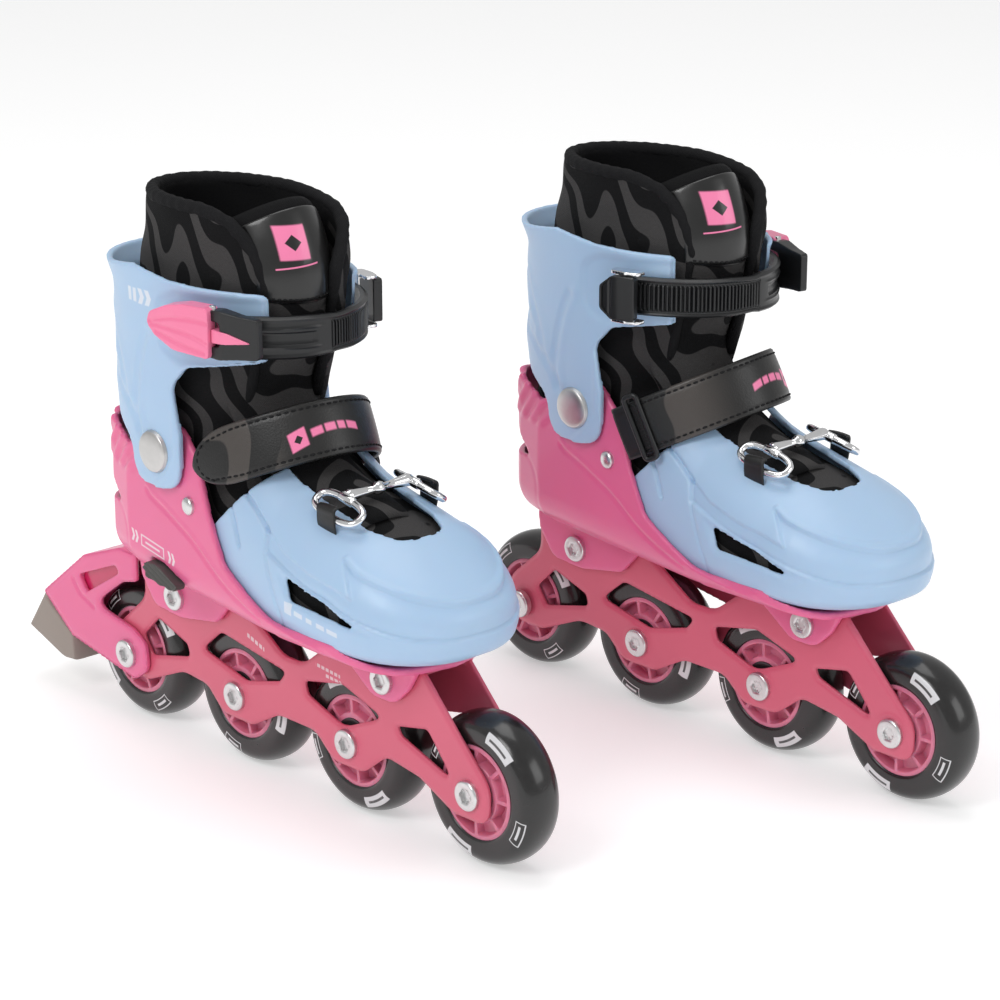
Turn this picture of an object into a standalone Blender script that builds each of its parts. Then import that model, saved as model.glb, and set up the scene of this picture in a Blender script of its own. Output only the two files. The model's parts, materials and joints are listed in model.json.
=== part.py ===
"""A pair of adjustable inline skates, modelled as two mirrored assemblies.

Each skate is drawn in its own frame: X runs forward from the rear axle, Y to the skater's left and
Z up from the floor. The right skate is modelled piece by piece, with its outer (lateral) side at -Y.
The left skate takes the mirrored mesh of every piece except the heel brake, which only the right one has.
"""
import bmesh
import bpy
import math
from mathutils import Matrix, Vector

MM = 0.001

# Placement of the two skates: rear axle of the right one, and the step from right to left.
RIGHT_ORIGIN = (-0.1356, -0.09475)
LEFT_STEP = (0.0807, 0.1895)

# Wheels, bearings and axles.
WHEEL_RADIUS = 35 * MM
WHEEL_HALF_WIDTH = 11 * MM
WHEEL_STEPS = 16
TREAD_BEND = math.radians(45)
SMALL_STEPS = 10
RIVET_STEPS = 12
TREAD_HALF_WIDTH = 2.5 * MM
AXLE_PITCH = 81 * MM
AXLE_RADIUS = 3.9 * MM
BEARING_RADIUS = 11 * MM
BEARING_BORE = 4.2 * MM
HUB_BORE = 11.4 * MM
BOLT_HEAD_RADIUS = 7 * MM

# Frame channel.
PLATE_IN = 12.2 * MM
PLATE_OUT = 14.8 * MM
FRAME_TOP = 83.6 * MM
SADDLE_THICK = 2.6 * MM
MOUNT_X = (41 * MM, 191 * MM)
MOUNT_Z = 75.2 * MM

# Shells.
GAP = 0.3 * MM
LOBE_IN = PLATE_OUT + GAP
LOBE_OUT = 18.4 * MM
SHELL_WALL = 3.2 * MM
CUFF_WALL = 3.0 * MM
ANKLE = (65.5 * MM, 159 * MM)
CUFF_FLEX_DEG = 12.0
RIVET_HOLE = 4.3 * MM
LEVER_PIN = (112 * MM, -42.3 * MM, 224 * MM)
RATCHET_PIN = (107.5 * MM, 45.9 * MM, 221.5 * MM)
RATCHET_TURN = -17.0
LEVER_TURN = 13.0
LINER_THICK = 5.0
CLIP = (168.5 * MM, 24 * MM, 151.4 * MM)
TOE_WALL = 2.8
ARM_HALF_WIDTH = 18.0 * MM
TOE_REST = (170 * MM, 0, 88 * MM)
BUTTON_REST = (64 * MM, -38.6 * MM, 97 * MM)

SHARP_ANGLE = math.radians(32)
RIGHT = "right"
LEFT = "left"


# ---------------------------------------------------------------- scene and materials

def clear_scene():
    for obj in list(bpy.data.objects):
        bpy.data.objects.remove(obj, do_unlink=True)
    for group in list(bpy.data.collections):
        bpy.data.collections.remove(group)


def make_collection(name):
    group = bpy.data.collections.new(name)
    bpy.context.scene.collection.children.link(group)
    return group


def make_material(name, color, roughness, metallic=0.0):
    mat = bpy.data.materials.new(name)
    mat.use_nodes = True
    shader = mat.node_tree.nodes["Principled BSDF"]
    shader.inputs["Base Color"].default_value = (*color, 1.0)
    shader.inputs["Roughness"].default_value = roughness
    shader.inputs["Metallic"].default_value = metallic
    mat.diffuse_color = (*color, 1.0)
    return mat


clear_scene()
PARTS = make_collection("inline_skates")
CUTTERS = make_collection("cutters")

BLUE = make_material("blue_plastic", (0.36, 0.55, 0.80), 0.42)
PINK = make_material("pink_plastic", (0.80, 0.20, 0.36), 0.38)
CORAL = make_material("coral_paint", (0.72, 0.15, 0.22), 0.35, 0.2)
STEEL = make_material("zinc_steel", (0.70, 0.70, 0.72), 0.25, 1.0)
CHROME = make_material("chrome", (0.80, 0.80, 0.82), 0.10, 1.0)
TYRE = make_material("black_urethane", (0.02, 0.02, 0.022), 0.22)
KNIT = make_material("black_knit", (0.03, 0.03, 0.033), 0.85)
STRAP = make_material("black_leatherette", (0.02, 0.02, 0.022), 0.40)
BLACK = make_material("black_plastic", (0.025, 0.025, 0.027), 0.45)
GREY_RUBBER = make_material("grey_rubber", (0.30, 0.26, 0.24), 0.70)
GREY_PLASTIC = make_material("dark_grey_plastic", (0.09, 0.09, 0.09), 0.50)


# ---------------------------------------------------------------- shape helpers

def new_object(name, mesh, mat=None, group=None):
    obj = bpy.data.objects.new(name, mesh)
    (group or PARTS).objects.link(obj)
    if mat:
        obj.data.materials.clear()
        obj.data.materials.append(mat)
    return obj


def shade_smooth(mesh):
    mesh.shade_smooth()
    mesh.set_sharp_from_angle(angle=SHARP_ANGLE)


def rounded(corners, steps=3):
    """Outline in millimetres from (x, z, radius) corners, each corner turned into an arc."""
    points = []
    count = len(corners)
    for index in range(count):
        x, z, radius = corners[index]
        here = Vector((x, z))
        back = Vector(corners[index - 1][:2]) - here
        ahead = Vector(corners[(index + 1) % count][:2]) - here
        half = back.angle(ahead) / 2
        if radius <= 0 or half > math.radians(88):
            points.append(here)
            continue
        reach = min(radius / math.tan(half), 0.49 * back.length, 0.49 * ahead.length)
        start = here + back.normalized() * reach
        end = here + ahead.normalized() * reach
        for step in range(steps + 1):
            t = step / steps
            points.append(start * (1 - t) ** 2 + here * 2 * t * (1 - t) + end * t ** 2)
    return points


def plate(name, loops, y_low, y_high, mat=None, group=None):
    """Flat plate in the XZ plane from outlines in millimetres; loops after the first are holes."""
    curve = bpy.data.curves.new(name, "CURVE")
    curve.dimensions = "2D"
    curve.fill_mode = "BOTH"
    curve.extrude = (y_high - y_low) / 2
    for loop in loops:
        spline = curve.splines.new("POLY")
        spline.points.add(len(loop) - 1)
        for point, (x, z) in zip(spline.points, loop):
            point.co = (x * MM, z * MM, 0, 1)
        spline.use_cyclic_u = True
    drawn = new_object(name + "_outline", curve)
    drawn.rotation_euler = (math.pi / 2, 0, 0)
    drawn.location = (0, (y_low + y_high) / 2, 0)
    return curve_to_mesh(drawn, name, mat, group)


def curve_to_mesh(drawn, name, mat=None, group=None):
    """Replace a curve object by a welded mesh in the same place."""
    bpy.context.view_layer.update()
    graph = bpy.context.evaluated_depsgraph_get()
    mesh = bpy.data.meshes.new_from_object(drawn.evaluated_get(graph))
    matrix = drawn.matrix_world.copy()
    curve = drawn.data
    bpy.data.objects.remove(drawn)
    bpy.data.curves.remove(curve)
    shape = bmesh.new()
    shape.from_mesh(mesh)
    bmesh.ops.remove_doubles(shape, verts=shape.verts, dist=0.000005)
    bmesh.ops.transform(shape, matrix=matrix, verts=shape.verts)
    bmesh.ops.recalc_face_normals(shape, faces=shape.faces)
    shape.to_mesh(mesh)
    shape.free()
    mesh.name = name
    shade_smooth(mesh)
    return new_object(name, mesh, mat, group)


def turned(name, profile, steps, mat=None, group=None, half_step=False):
    """Solid turned about the Y axis from (radius, y) points that run down its outer side from +Y."""
    mesh = bpy.data.meshes.new(name)
    shape = bmesh.new()
    verts = [shape.verts.new((radius, 0, y)) for radius, y in profile]
    for first, second in zip(verts, verts[1:]):
        shape.edges.new((first, second))
    if profile[0][0] > 0:
        shape.edges.new((verts[-1], verts[0]))
    shape.to_mesh(mesh)
    shape.free()
    obj = new_object(name, mesh, mat, group)
    screw = obj.modifiers.new("turn", "SCREW")
    screw.steps = steps
    screw.render_steps = steps
    screw.use_merge_vertices = True
    screw.merge_threshold = 0.00001
    screw.use_smooth_shade = True
    spin = math.pi / 2 + (math.pi / steps if half_step else 0)
    obj.rotation_euler = Matrix.Rotation(-math.pi / 2, 4, "X").to_euler()
    obj.data.transform(Matrix.Rotation(spin, 4, "Z"))
    return obj


def loft(name, rings, mat=None, group=None):
    """Closed body through rings of equal point count, listed so that each ring turns clockwise ahead."""
    mesh = bpy.data.meshes.new(name)
    shape = bmesh.new()
    rows = [[shape.verts.new(point) for point in ring] for ring in rings]
    for low, high in zip(rows, rows[1:]):
        for index in range(len(low)):
            after = (index + 1) % len(low)
            shape.faces.new((low[index], low[after], high[after], high[index]))
    bmesh.ops.triangulate(shape, faces=shape.faces, quad_method="FIXED")
    shape.faces.new(rows[0])
    shape.faces.new(rows[-1])
    bmesh.ops.recalc_face_normals(shape, faces=shape.faces)
    shape.to_mesh(mesh)
    shape.free()
    shade_smooth(mesh)
    return new_object(name, mesh, mat, group)


def boolean(obj, cutter, operation="DIFFERENCE"):
    step = obj.modifiers.new(operation.lower(), "BOOLEAN")
    step.operation = operation
    step.object = cutter
    step.solver = "EXACT"
    if cutter.name not in CUTTERS.objects:
        CUTTERS.objects.link(cutter)
        PARTS.objects.unlink(cutter)
    cutter.hide_render = True
    cutter.display_type = "WIRE"
    return obj


def box(name, low, high, mat=None, group=None):
    """Box between two corners in millimetres."""
    mesh = bpy.data.meshes.new(name)
    shape = bmesh.new()
    bmesh.ops.create_cube(shape, size=1)
    size = [(b - a) * MM for a, b in zip(low, high)]
    centre = [(a + b) / 2 * MM for a, b in zip(low, high)]
    bmesh.ops.scale(shape, vec=size, verts=shape.verts)
    bmesh.ops.translate(shape, vec=centre, verts=shape.verts)
    shape.to_mesh(mesh)
    shape.free()
    return new_object(name, mesh, mat, group)


def spline_table(rows, position):
    """Smooth value of each column of a table at a position in its first column."""
    count = len(rows)
    index = max(i for i in range(count) if rows[i][0] <= position or i == 0)
    index = min(index, count - 2)
    x0, x1 = rows[index][0], rows[index + 1][0]
    t = (position - x0) / (x1 - x0)
    before = rows[max(index - 1, 0)]
    after = rows[min(index + 2, count - 1)]
    values = []
    for column in range(1, len(rows[0])):
        y0, y1 = rows[index][column], rows[index + 1][column]
        slope0 = (y1 - before[column]) / (x1 - before[0]) * (x1 - x0)
        slope1 = (after[column] - y0) / (after[0] - x0) * (x1 - x0)
        h0 = 2 * t ** 3 - 3 * t ** 2 + 1
        h1 = t ** 3 - 2 * t ** 2 + t
        h2 = -2 * t ** 3 + 3 * t ** 2
        h3 = t ** 3 - t ** 2
        values.append(h0 * y0 + h1 * slope0 + h2 * y1 + h3 * slope1)
    return values


def power(value, exponent):
    return math.copysign(abs(value) ** exponent, value)


# ---------------------------------------------------------------- foot form shared by the shells

# x, half width, lowest and highest point of the toe shell's outside, all in millimetres.
FOOT_ROWS = (
    (-4, 35.5, 88, 205),
    (30, 36.2, 88, 205),
    (65, 38.5, 88, 203),
    (100, 41.0, 88, 185),
    (140, 44.8, 88, 160),
    (175, 46.8, 88, 148),
    (200, 46.5, 88, 141),
    (222, 45.0, 88, 133),
    (241, 43.0, 88, 125),
)
HEEL_TIP, HEEL_ROUND = 1.5, 38.0
TOE_TIP, TOE_ROUND = 239.0, 186.0
WIDEST_Z = 109.0
FORM_POINTS = 20


def foot_ring(x, grow, count):
    """Cross-section of the foot form at x, its skin moved outward by grow (all in millimetres)."""
    heel_tip = HEEL_TIP - grow
    toe_tip = TOE_TIP + grow
    half, low, high = spline_table(FOOT_ROWS, min(max(x, HEEL_TIP), TOE_TIP))
    half, low, high = half + grow, low - grow, high + grow
    if x < HEEL_ROUND:
        reach = (HEEL_ROUND - x) / (HEEL_ROUND - heel_tip)
        fade = max(1 - reach ** 2.1, 0) ** (1 / 2.1)
        half *= fade
        low += (WIDEST_Z - low) * 0.55 * (1 - fade)
    elif x > TOE_ROUND:
        reach = (x - TOE_ROUND) / (toe_tip - TOE_ROUND)
        fade = max(1 - reach ** 2.3, 0) ** (1 / 2.3)
        half *= fade
        low += (WIDEST_Z - low) * 0.9 * (1 - fade)
        high += (WIDEST_Z - high) * 0.9 * (1 - fade)
    flat = min(max((x - 40) / 100, 0), 1)
    low_power = 2 / (2.1 + 1.3 * flat)
    high_power = 2 / (3.6 - 1.3 * flat)
    points = []
    for index in range(count):
        angle = 2 * math.pi * (index + 0.5) / count
        across, up = math.cos(angle), math.sin(angle)
        if up > 0:
            exponent, height = high_power, high - WIDEST_Z
        else:
            exponent, height = low_power, WIDEST_Z - low
        y = half * power(across, exponent)
        z = WIDEST_Z + height * power(up, exponent)
        points.append((x * MM, y * MM, z * MM))
    return points


def foot_form(name, grow, count=FORM_POINTS):
    """Closed foot-shaped body whose skin lies grow millimetres outside the toe shell's."""
    heel_tip, toe_tip = HEEL_TIP - grow, TOE_TIP + grow
    stations = [heel_tip + d for d in (0.25, 3.5, 13)] + [34, 70, 110, 150, 190]
    stations += [toe_tip - d for d in (30, 15, 5, 0.25)]
    return loft(name, [foot_ring(x, grow, count) for x in stations])


def side_prism(name, corners, half_width=80, steps=2):
    """Wide prism whose side view is a rounded outline."""
    outline = rounded(corners, steps)
    return plate(name, [outline], -half_width * MM, half_width * MM)


def plan_prism(name, corners, z_low, z_high, mat=None, steps=3):
    """Upright prism whose plan view is a rounded outline, between two heights in millimetres."""
    prism = plate(name, [rounded(corners, steps)], -z_high * MM, -z_low * MM, mat)
    prism.data.transform(Matrix.Rotation(-math.pi / 2, 4, "X"))
    return prism


# ---------------------------------------------------------------- wheels and frame

def build_wheel(name, mat):
    crown = WHEEL_RADIUS / math.cos(math.pi / WHEEL_STEPS)
    side = WHEEL_HALF_WIDTH
    shoulder = 26.5 * MM
    profile = [(HUB_BORE, side), (15 * MM, side - 2 * MM), (22.5 * MM, side), (shoulder, side)]
    profile.append((shoulder + (crown - shoulder) * math.cos(TREAD_BEND) ** 0.7, side * math.sin(TREAD_BEND)))
    profile.append((crown, TREAD_HALF_WIDTH))
    profile += [(radius, -y) for radius, y in reversed(profile)]
    return turned(name, profile, WHEEL_STEPS, mat, half_step=True)


def build_bearings(name):
    face = WHEEL_HALF_WIDTH + 0.6 * MM
    race = 4.6 * MM
    spacer = 6 * MM
    profile = [(BEARING_BORE, face), (BEARING_RADIUS, face), (BEARING_RADIUS, race), (spacer, race)]
    profile += [(radius, -y) for radius, y in reversed(profile)]
    return turned(name, profile, SMALL_STEPS, STEEL)


def build_bolt(name, shoulder, radius=BOLT_HEAD_RADIUS, shaft=AXLE_RADIUS):
    """Through bolt with a socketed head at -Y and a domed nut at +Y, seated at +-shoulder."""
    head = shoulder + 2.3 * MM
    profile = [(0, head), (radius - 0.6 * MM, head), (radius, shoulder), (shaft, shoulder),
               (shaft, -shoulder), (radius, -shoulder), (radius - 0.6 * MM, -head),
               (3 * MM, -head), (3 * MM, -head + 1.3 * MM), (0, -head + 1.3 * MM)]
    return turned(name, profile, SMALL_STEPS, STEEL)


# Side views of the four ears that bolt the heel shell to the frame.
LOBE_REAR = [(13, 88.5, 0), (14, 80, 5), (24, 66.5, 9), (44, 65, 12), (72, 70, 8), (88, 87.6, 0)]
LOBE_FRONT = [(152, 87.3, 0), (168, 76, 10), (183, 65.5, 10), (198, 65.5, 10), (207, 74, 8), (215, 87.3, 0)]
FRAME_SIDE = [
    (11, 83.6, 2), (11, 66, 12), (-11, 47, 10), (-11.5, 24, 11), (12, 23.5, 12), (40, 35.5, 18),
    (58, 34, 10), (70, 23, 12), (92, 23, 12), (112, 34, 14), (138, 34, 12), (151, 23, 12), (172, 23.5, 12),
    (188, 36, 10), (210, 33, 12), (232, 23, 12), (255, 23, 12), (255.5, 41, 14), (213.5, 83.6, 3),
    (155, 83.6, 3), (131, 65, 16), (116, 64.5, 16), (86, 83.6, 3),
]
FRAME_HOLES = (
    [(21, 58, 3), (8.5, 46, 2.5), (15, 37, 3), (45.5, 44.5, 3), (43.5, 50.5, 3)],
    [(55, 51.5, 2.5), (70, 64, 8), (118, 57, 2.5), (113, 51, 3), (88, 44, 14)],
    [(131, 56.5, 2.5), (133, 50, 3), (158, 41.5, 16), (186, 54, 2.5), (158, 62.5, 8)],
    [(195, 53, 2.5), (197.5, 49, 3), (232.5, 37.5, 2.5), (215.5, 57.5, 4)],
)


def build_frame(name):
    loops = [rounded(FRAME_SIDE, 2)] + [rounded(hole, 1) for hole in FRAME_HOLES]
    frame = plate(name, loops, PLATE_IN, PLATE_OUT, CORAL)
    boolean(frame, plate(name + "_near", loops, -PLATE_OUT, -PLATE_IN), "UNION")
    low = (FRAME_TOP - SADDLE_THICK) / MM
    for index, (first, last) in enumerate(((14, 84), (157, 212))):
        saddle = box(f"{name}_saddle_{index}", (first, -PLATE_OUT / MM + 0.4, low),
                     (last, PLATE_OUT / MM - 0.4, FRAME_TOP / MM - 0.05))
        boolean(frame, saddle, "UNION")
    for index in range(4):
        boolean(frame, drill(f"{name}_axle_{index}", index * AXLE_PITCH, WHEEL_RADIUS, 4.6 * MM, 20 * MM))
    for index, x in enumerate(MOUNT_X):
        boolean(frame, drill(f"{name}_mount_{index}", x, MOUNT_Z, 3.6 * MM, 20 * MM))
    return frame


# ---------------------------------------------------------------- boot

def drill(name, x, z, radius, half_length):
    """Round cutter along Y through (x, z)."""
    profile = [(0, half_length), (radius, half_length), (radius, -half_length), (0, -half_length)]
    cutter = turned(name, profile, SMALL_STEPS)
    cutter.location = (x, 0, z)
    return cutter


BUTTON_OUTLINE = [
    (-13, 2, 2), (-10, 5.5, 2), (0, 5, 2), (12.5, -1.5, 2), (11, -4.5, 2), (-2, -3.5, 2), (-10, -2, 2),
]
BUTTON_ROOM = (1.07, 1.2)


def button_plate(name, stretch, y_low, y_high, mat=None):
    """Flat prism with the size button's outline, stretched along X and Z about its middle."""
    corners = [(BUTTON_REST[0] / MM + x * stretch[0], BUTTON_REST[2] / MM + z * stretch[1], radius)
               for x, z, radius in BUTTON_OUTLINE]
    return plate(name, [rounded(corners, 2)], y_low, y_high, mat)


def build_size_button(name):
    return button_plate(name, (1, 1), -44.6 * MM, BUTTON_REST[1], GREY_PLASTIC)


def build_heel_shell(name):
    sole_low, wall_end = 84, 190
    shell = foot_form(name, SHELL_WALL / MM + 0.4)
    shell.data.materials.append(PINK)
    outline = [
        (-14, sole_low, 0), (-14, 161, 0), (12, 163, 6), (34, 156, 10), (53, 158, 6), (58, 171, 6), (76, 171, 8),
        (91, 158, 10), (101, 136, 12), (113, 115, 16), (146, 99, 24), (184, 93, 12), (wall_end, 88, 0),
        (wall_end, sole_low, 0),
    ]
    boolean(shell, side_prism(name + "_side", outline), "INTERSECT")
    boolean(shell, foot_form(name + "_cavity", 0.4))
    window = [(-20, 139.5, 0), (-20, 120, 0), (27, 124, 2), (6, 138.5, 3)]
    boolean(shell, side_prism(name + "_window", window, steps=2))
    boolean(shell, button_plate(name + "_button_slot", BUTTON_ROOM, -48 * MM, -36 * MM))
    for y_side in (-1, 1):
        low, high = sorted((y_side * LOBE_IN, y_side * LOBE_OUT))
        for end, lobe in (("rear", LOBE_REAR), ("front", LOBE_FRONT)):
            part = plate(f"{name}_lobe_{end}_{y_side}", [rounded(lobe)], low, high)
            boolean(shell, part, "UNION")
    tray = [
        (150, -30, 0), (150, 30, 0), (190, 42, 14), (215, 36, 22), (230, 0, 16), (215, -36, 22), (190, -42, 14),
    ]
    boolean(shell, plan_prism(name + "_tray", tray, 84.1, 87.4), "UNION")
    for x in MOUNT_X:
        boolean(shell, drill(f"{name}_drill_{x / MM:.0f}", x, MOUNT_Z, 3.6 * MM, 30 * MM))
    boolean(shell, drill(name + "_drill_ankle", *ANKLE, RIVET_HOLE, 70 * MM))
    return shell


def build_toe_shell(name):
    shell = foot_form(name, 0)
    shell.data.materials.append(BLUE)
    outline = [(88, 80, 0), (88, 112, 8), (101, 131, 8), (136, 166, 3), (150, 178, 0), (262, 178, 0), (262, 80, 0)]
    boolean(shell, side_prism(name + "_side", outline), "INTERSECT")
    boolean(shell, foot_form(name + "_cavity", -TOE_WALL))
    throat = [(70, -24, 0), (70, 24, 0), (120, 20, 12), (182, 18, 18), (198, 11, 10), (198, -11, 10),
              (182, -18, 18), (120, -20, 12)]
    boolean(shell, plan_prism(name + "_throat", throat, 125, 220))
    vent = [(157, 117, 0), (163, 110, 0), (196, 106, 0), (170, 112.5, 0)]
    boolean(shell, side_prism(name + "_vent", vent, steps=1))
    return shell


def leg_ring(row, grow, count, exponent=2.1):
    """Level cross-section of the leg from (height, back, front, half width) in millimetres."""
    z, back, front, half = row
    centre, reach = (back + front) / 2, (front - back) / 2 + grow
    points = []
    for index in range(count):
        angle = 2 * math.pi * (index + 0.5) / count
        x = centre + reach * power(math.cos(angle), 2 / exponent)
        y = (half + grow) * power(math.sin(angle), 2 / exponent)
        points.append((x * MM, y * MM, z * MM))
    return points


CUFF_ROWS = ((138, 6, 134, 46), (165, 4, 135, 46), (190, 3, 135, 46), (220, 3, 136, 46), (250, 1, 138, 47))
COLLAR_ROWS = ((146, 9, 110, 34.2), (170, 8, 114, 34.4), (190, 9, 120, 37.5), (215, 12, 127, 38),
               (245, 18, 132, 35.5), (276, 24, 129, 34.5))


def leg_tube(name, rows, wall, mat, count=24):
    """Open tube through the rows: an outer body less a longer inner one."""
    tube = loft(name, [leg_ring(row, 0, count) for row in rows], mat)
    tall = [(rows[0][0] - 1, *rows[0][1:])] + list(rows[1:-1]) + [(rows[-1][0] + 1, *rows[-1][1:])]
    return boolean(tube, loft(name + "_bore", [leg_ring(row, -wall, count) for row in tall]))


def build_cuff(name):
    cuff = leg_tube(name, CUFF_ROWS, CUFF_WALL / MM, BLUE)
    outline = [
        (-12, 171, 0), (-12, 240.5, 0), (24, 240.5, 12), (52, 245, 10), (80, 241.5, 12), (125, 240, 4),
        (125, 208.5, 5), (88, 202.5, 8), (78.5, 192, 8), (83, 170, 8), (83, 142, 16), (48, 142, 16),
        (43, 160, 10), (18, 170, 8),
    ]
    boolean(cuff, side_prism(name + "_side", outline), "INTERSECT")
    boolean(cuff, box(name + "_short_arm", (117, 5, 200), (140, 60, 250)))
    boolean(cuff, drill(name + "_drill", *ANKLE, RIVET_HOLE, 70 * MM))
    return cuff


# ---------------------------------------------------------------- liner, parted at the ankle

SPLIT_RADIUS = 28.0


def ray(degrees, reach):
    """Point of the side view at an angle and distance (millimetres) from the ankle."""
    angle = math.radians(degrees)
    return (ANKLE[0] / MM + reach * math.cos(angle), ANKLE[1] / MM + reach * math.sin(angle))


def ankle_arc(first, last, radius, steps=9):
    return [ray(first + (last - first) * i / steps, radius) for i in range(steps + 1)]


def build_liner_foot(name):
    """Lower liner, under a round top about the ankle so that the collar can turn over it."""
    wall_gap = TOE_WALL + 2.6
    liner = foot_form(name, -wall_gap)
    liner.data.materials.append(KNIT)
    outline = [(-20, 85), (-20, 149.5)]
    outline += ankle_arc(199, 12, SPLIT_RADIUS)
    outline += [ray(12, 62), (150, 190), (250, 190), (250, 85)]
    boolean(liner, plate(name + "_side", [outline], -80 * MM, 80 * MM), "INTERSECT")
    boolean(liner, foot_form(name + "_cavity", -wall_gap - LINER_THICK, 16))
    throat = [(14, -22, 0), (14, 22, 0), (100, 22, 8), (100, -22, 8)]
    return boolean(liner, plan_prism(name + "_throat", throat, 130, 220))


def build_liner_collar(name):
    """Upper liner with its tongue; its lower edge leaves the wedge that the flexing cuff closes."""
    collar = leg_tube(name, COLLAR_ROWS, LINER_THICK, KNIT, 18)
    radius = SPLIT_RADIUS + 0.4
    outline = [(-20, 150), (38, 150)]
    outline += ankle_arc(198, 12 + CUFF_FLEX_DEG + 1, radius)
    outline += [ray(12 + CUFF_FLEX_DEG + 1, 90), (150, 246), (104, 273), (60, 274), (-20, 268)]
    return boolean(collar, plate(name + "_side", [outline], -80 * MM, 80 * MM), "INTERSECT")


# ---------------------------------------------------------------- straps and buckles

def arc_band(centre, reach, half, first, last, thick, steps=16):
    """Flat band along an ellipse, as an outline in millimetres; angles in degrees from its front."""
    outer, inner = [], []
    for index in range(steps + 1):
        angle = math.radians(first + (last - first) * index / steps)
        along, across = math.cos(angle), math.sin(angle)
        outer.append((centre + reach * along, half * across))
        inner.append((centre + (reach - thick) * along, (half - thick) * across))
    return outer + inner[::-1]


STRAP_TILT = math.radians(26.6)
STRAP_ROLL = math.radians(4)
STRAP_CENTRE = (82 * MM, 148 * MM)


def build_instep_strap(name):
    band = arc_band(0, 71, 48.0, -77, 77, 2.4)
    strap = plate(name, [band], -12.5 * MM, 12.5 * MM, STRAP)
    strap.data.transform(Matrix.Rotation(-math.pi / 2, 4, "X"))
    strap.data.transform(Matrix.Rotation(-STRAP_ROLL, 4, "X"))
    strap.data.transform(Matrix.Rotation(-STRAP_TILT, 4, "Y"))
    strap.data.transform(Matrix.Translation((STRAP_CENTRE[0], 0, STRAP_CENTRE[1])))
    return strap


def build_ladder_strap(name):
    band = arc_band(70, 70.6, 50.8, -56, 61, 2.8)
    strap = plate(name, [band], -230.5 * MM, -211.5 * MM, BLACK)
    strap.data.transform(Matrix.Rotation(-math.pi / 2, 4, "X"))
    return strap


def along_cuff(obj, pin, degrees):
    """Turn a piece drawn along X, and its cutters, about its pin to lie along the cuff's side."""
    for item in [obj] + [step.object for step in obj.modifiers if step.type == "BOOLEAN"]:
        item.data.transform(Matrix.Translation(pin) @ Matrix.Rotation(math.radians(degrees), 4, "Z"))
    return obj


def build_buckle_lever(name):
    """Cam lever: its grip points back, its pin is at the front."""
    outline = [(0.6, -11, 3), (0.6, 12, 3), (-21, 11, 8), (-32, 8, 4), (-36, 1, 6), (-32, -5, 4), (-21, -10, 8)]
    lever = plate(name, [rounded(outline)], -9 * MM, -0.8 * MM, mat=None)
    lever.data.materials.append(PINK)
    return along_cuff(lever, LEVER_PIN, LEVER_TURN)


def build_ratchet_bracket(name):
    """Sheet-metal channel that carries the ratchet lever's pin above and below the strap."""
    bracket = box(name, (-13, -2.2, -12.4), (4, 5.5, 12.4), CHROME)
    boolean(bracket, box(name + "_gap", (-18, -0.9, -10.8), (8, 9, 10.8)))
    return along_cuff(bracket, RATCHET_PIN, RATCHET_TURN)


def build_ratchet_lever(name):
    """Cap of the ratchet, pinned at its front and lifted at its back."""
    outline = [(2, -10.4, 2), (2, 10.4, 2), (-13, 10.4, 3), (-16, 6, 3), (-16, -6, 3), (-13, -10.4, 3)]
    lever = plate(name, [rounded(outline, 2)], 3.8 * MM, 8.2 * MM, BLACK)
    return along_cuff(lever, RATCHET_PIN, RATCHET_TURN)


def build_toe_clip(name):
    """Double snap: two oval rings joined by a bar, as one bent rod."""
    curve = bpy.data.curves.new(name, "CURVE")
    curve.dimensions = "3D"
    curve.bevel_depth = 1.7 * MM
    curve.bevel_resolution = 1
    curve.use_fill_caps = True
    spline = curve.splines.new("POLY")
    spline.points.add(1)
    for point, y in zip(spline.points, (-19, 19)):
        point.co = (CLIP[0], y * MM, CLIP[2] + 3.4 * MM, 1)
    clip = curve_to_mesh(new_object(name + "_bar", curve), name, CHROME)
    for side in (-1, 1):
        ring = ring_solid(f"{name}_ring_{side}", 11, 6.2, 1.7, CHROME)
        ring.data.transform(Matrix.Rotation(math.radians(-32 * side), 4, "X"))
        ring.data.transform(Matrix.Translation((CLIP[0], CLIP[1] * side, CLIP[2])))
        boolean(clip, ring, "UNION")
    return clip


def ring_solid(name, reach, half, wire, mat, steps=14, sides=6):
    """Oval ring of round wire about the Z axis, in millimetres; its long way lies along X."""
    rings = []
    for index in range(steps):
        angle = 2 * math.pi * index / steps
        centre = Vector((reach * math.cos(angle), half * math.sin(angle), 0))
        out = Vector((math.cos(angle), math.sin(angle), 0))
        rings.append([(centre + (out * math.cos(t) + Vector((0, 0, 1)) * math.sin(t)) * wire) * MM
                      for t in (2 * math.pi * k / sides for k in range(sides))])
    mesh = bpy.data.meshes.new(name)
    shape = bmesh.new()
    rows = [[shape.verts.new(point) for point in ring] for ring in rings]
    for low, high in zip(rows, rows[1:] + rows[:1]):
        for index in range(sides):
            after = (index + 1) % sides
            shape.faces.new((low[index], low[after], high[after], high[index]))
    bmesh.ops.recalc_face_normals(shape, faces=shape.faces)
    shape.to_mesh(mesh)
    shape.free()
    shade_smooth(mesh)
    return new_object(name, mesh, mat)


def build_cuff_rivet(name, side):
    """Shouldered rivet: flange inside the heel shell, shank through both walls, dome outside the cuff."""
    profile = [(0, 35.0), (6.4, 35.0), (6.4, 36.2), (3.9, 36.2), (3.9, 46.4), (9.4, 46.4), (8.6, 47.9),
               (5, 48.7), (0, 48.9)]
    points = [(radius * MM, -y * MM) for radius, y in profile]
    if side > 0:
        points = [(radius, -y) for radius, y in reversed(points)]
    rivet = turned(name, points, RIVET_STEPS, STEEL)
    rivet.location = (ANKLE[0], 0, ANKLE[1])
    return rivet


# ---------------------------------------------------------------- heel brake

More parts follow.
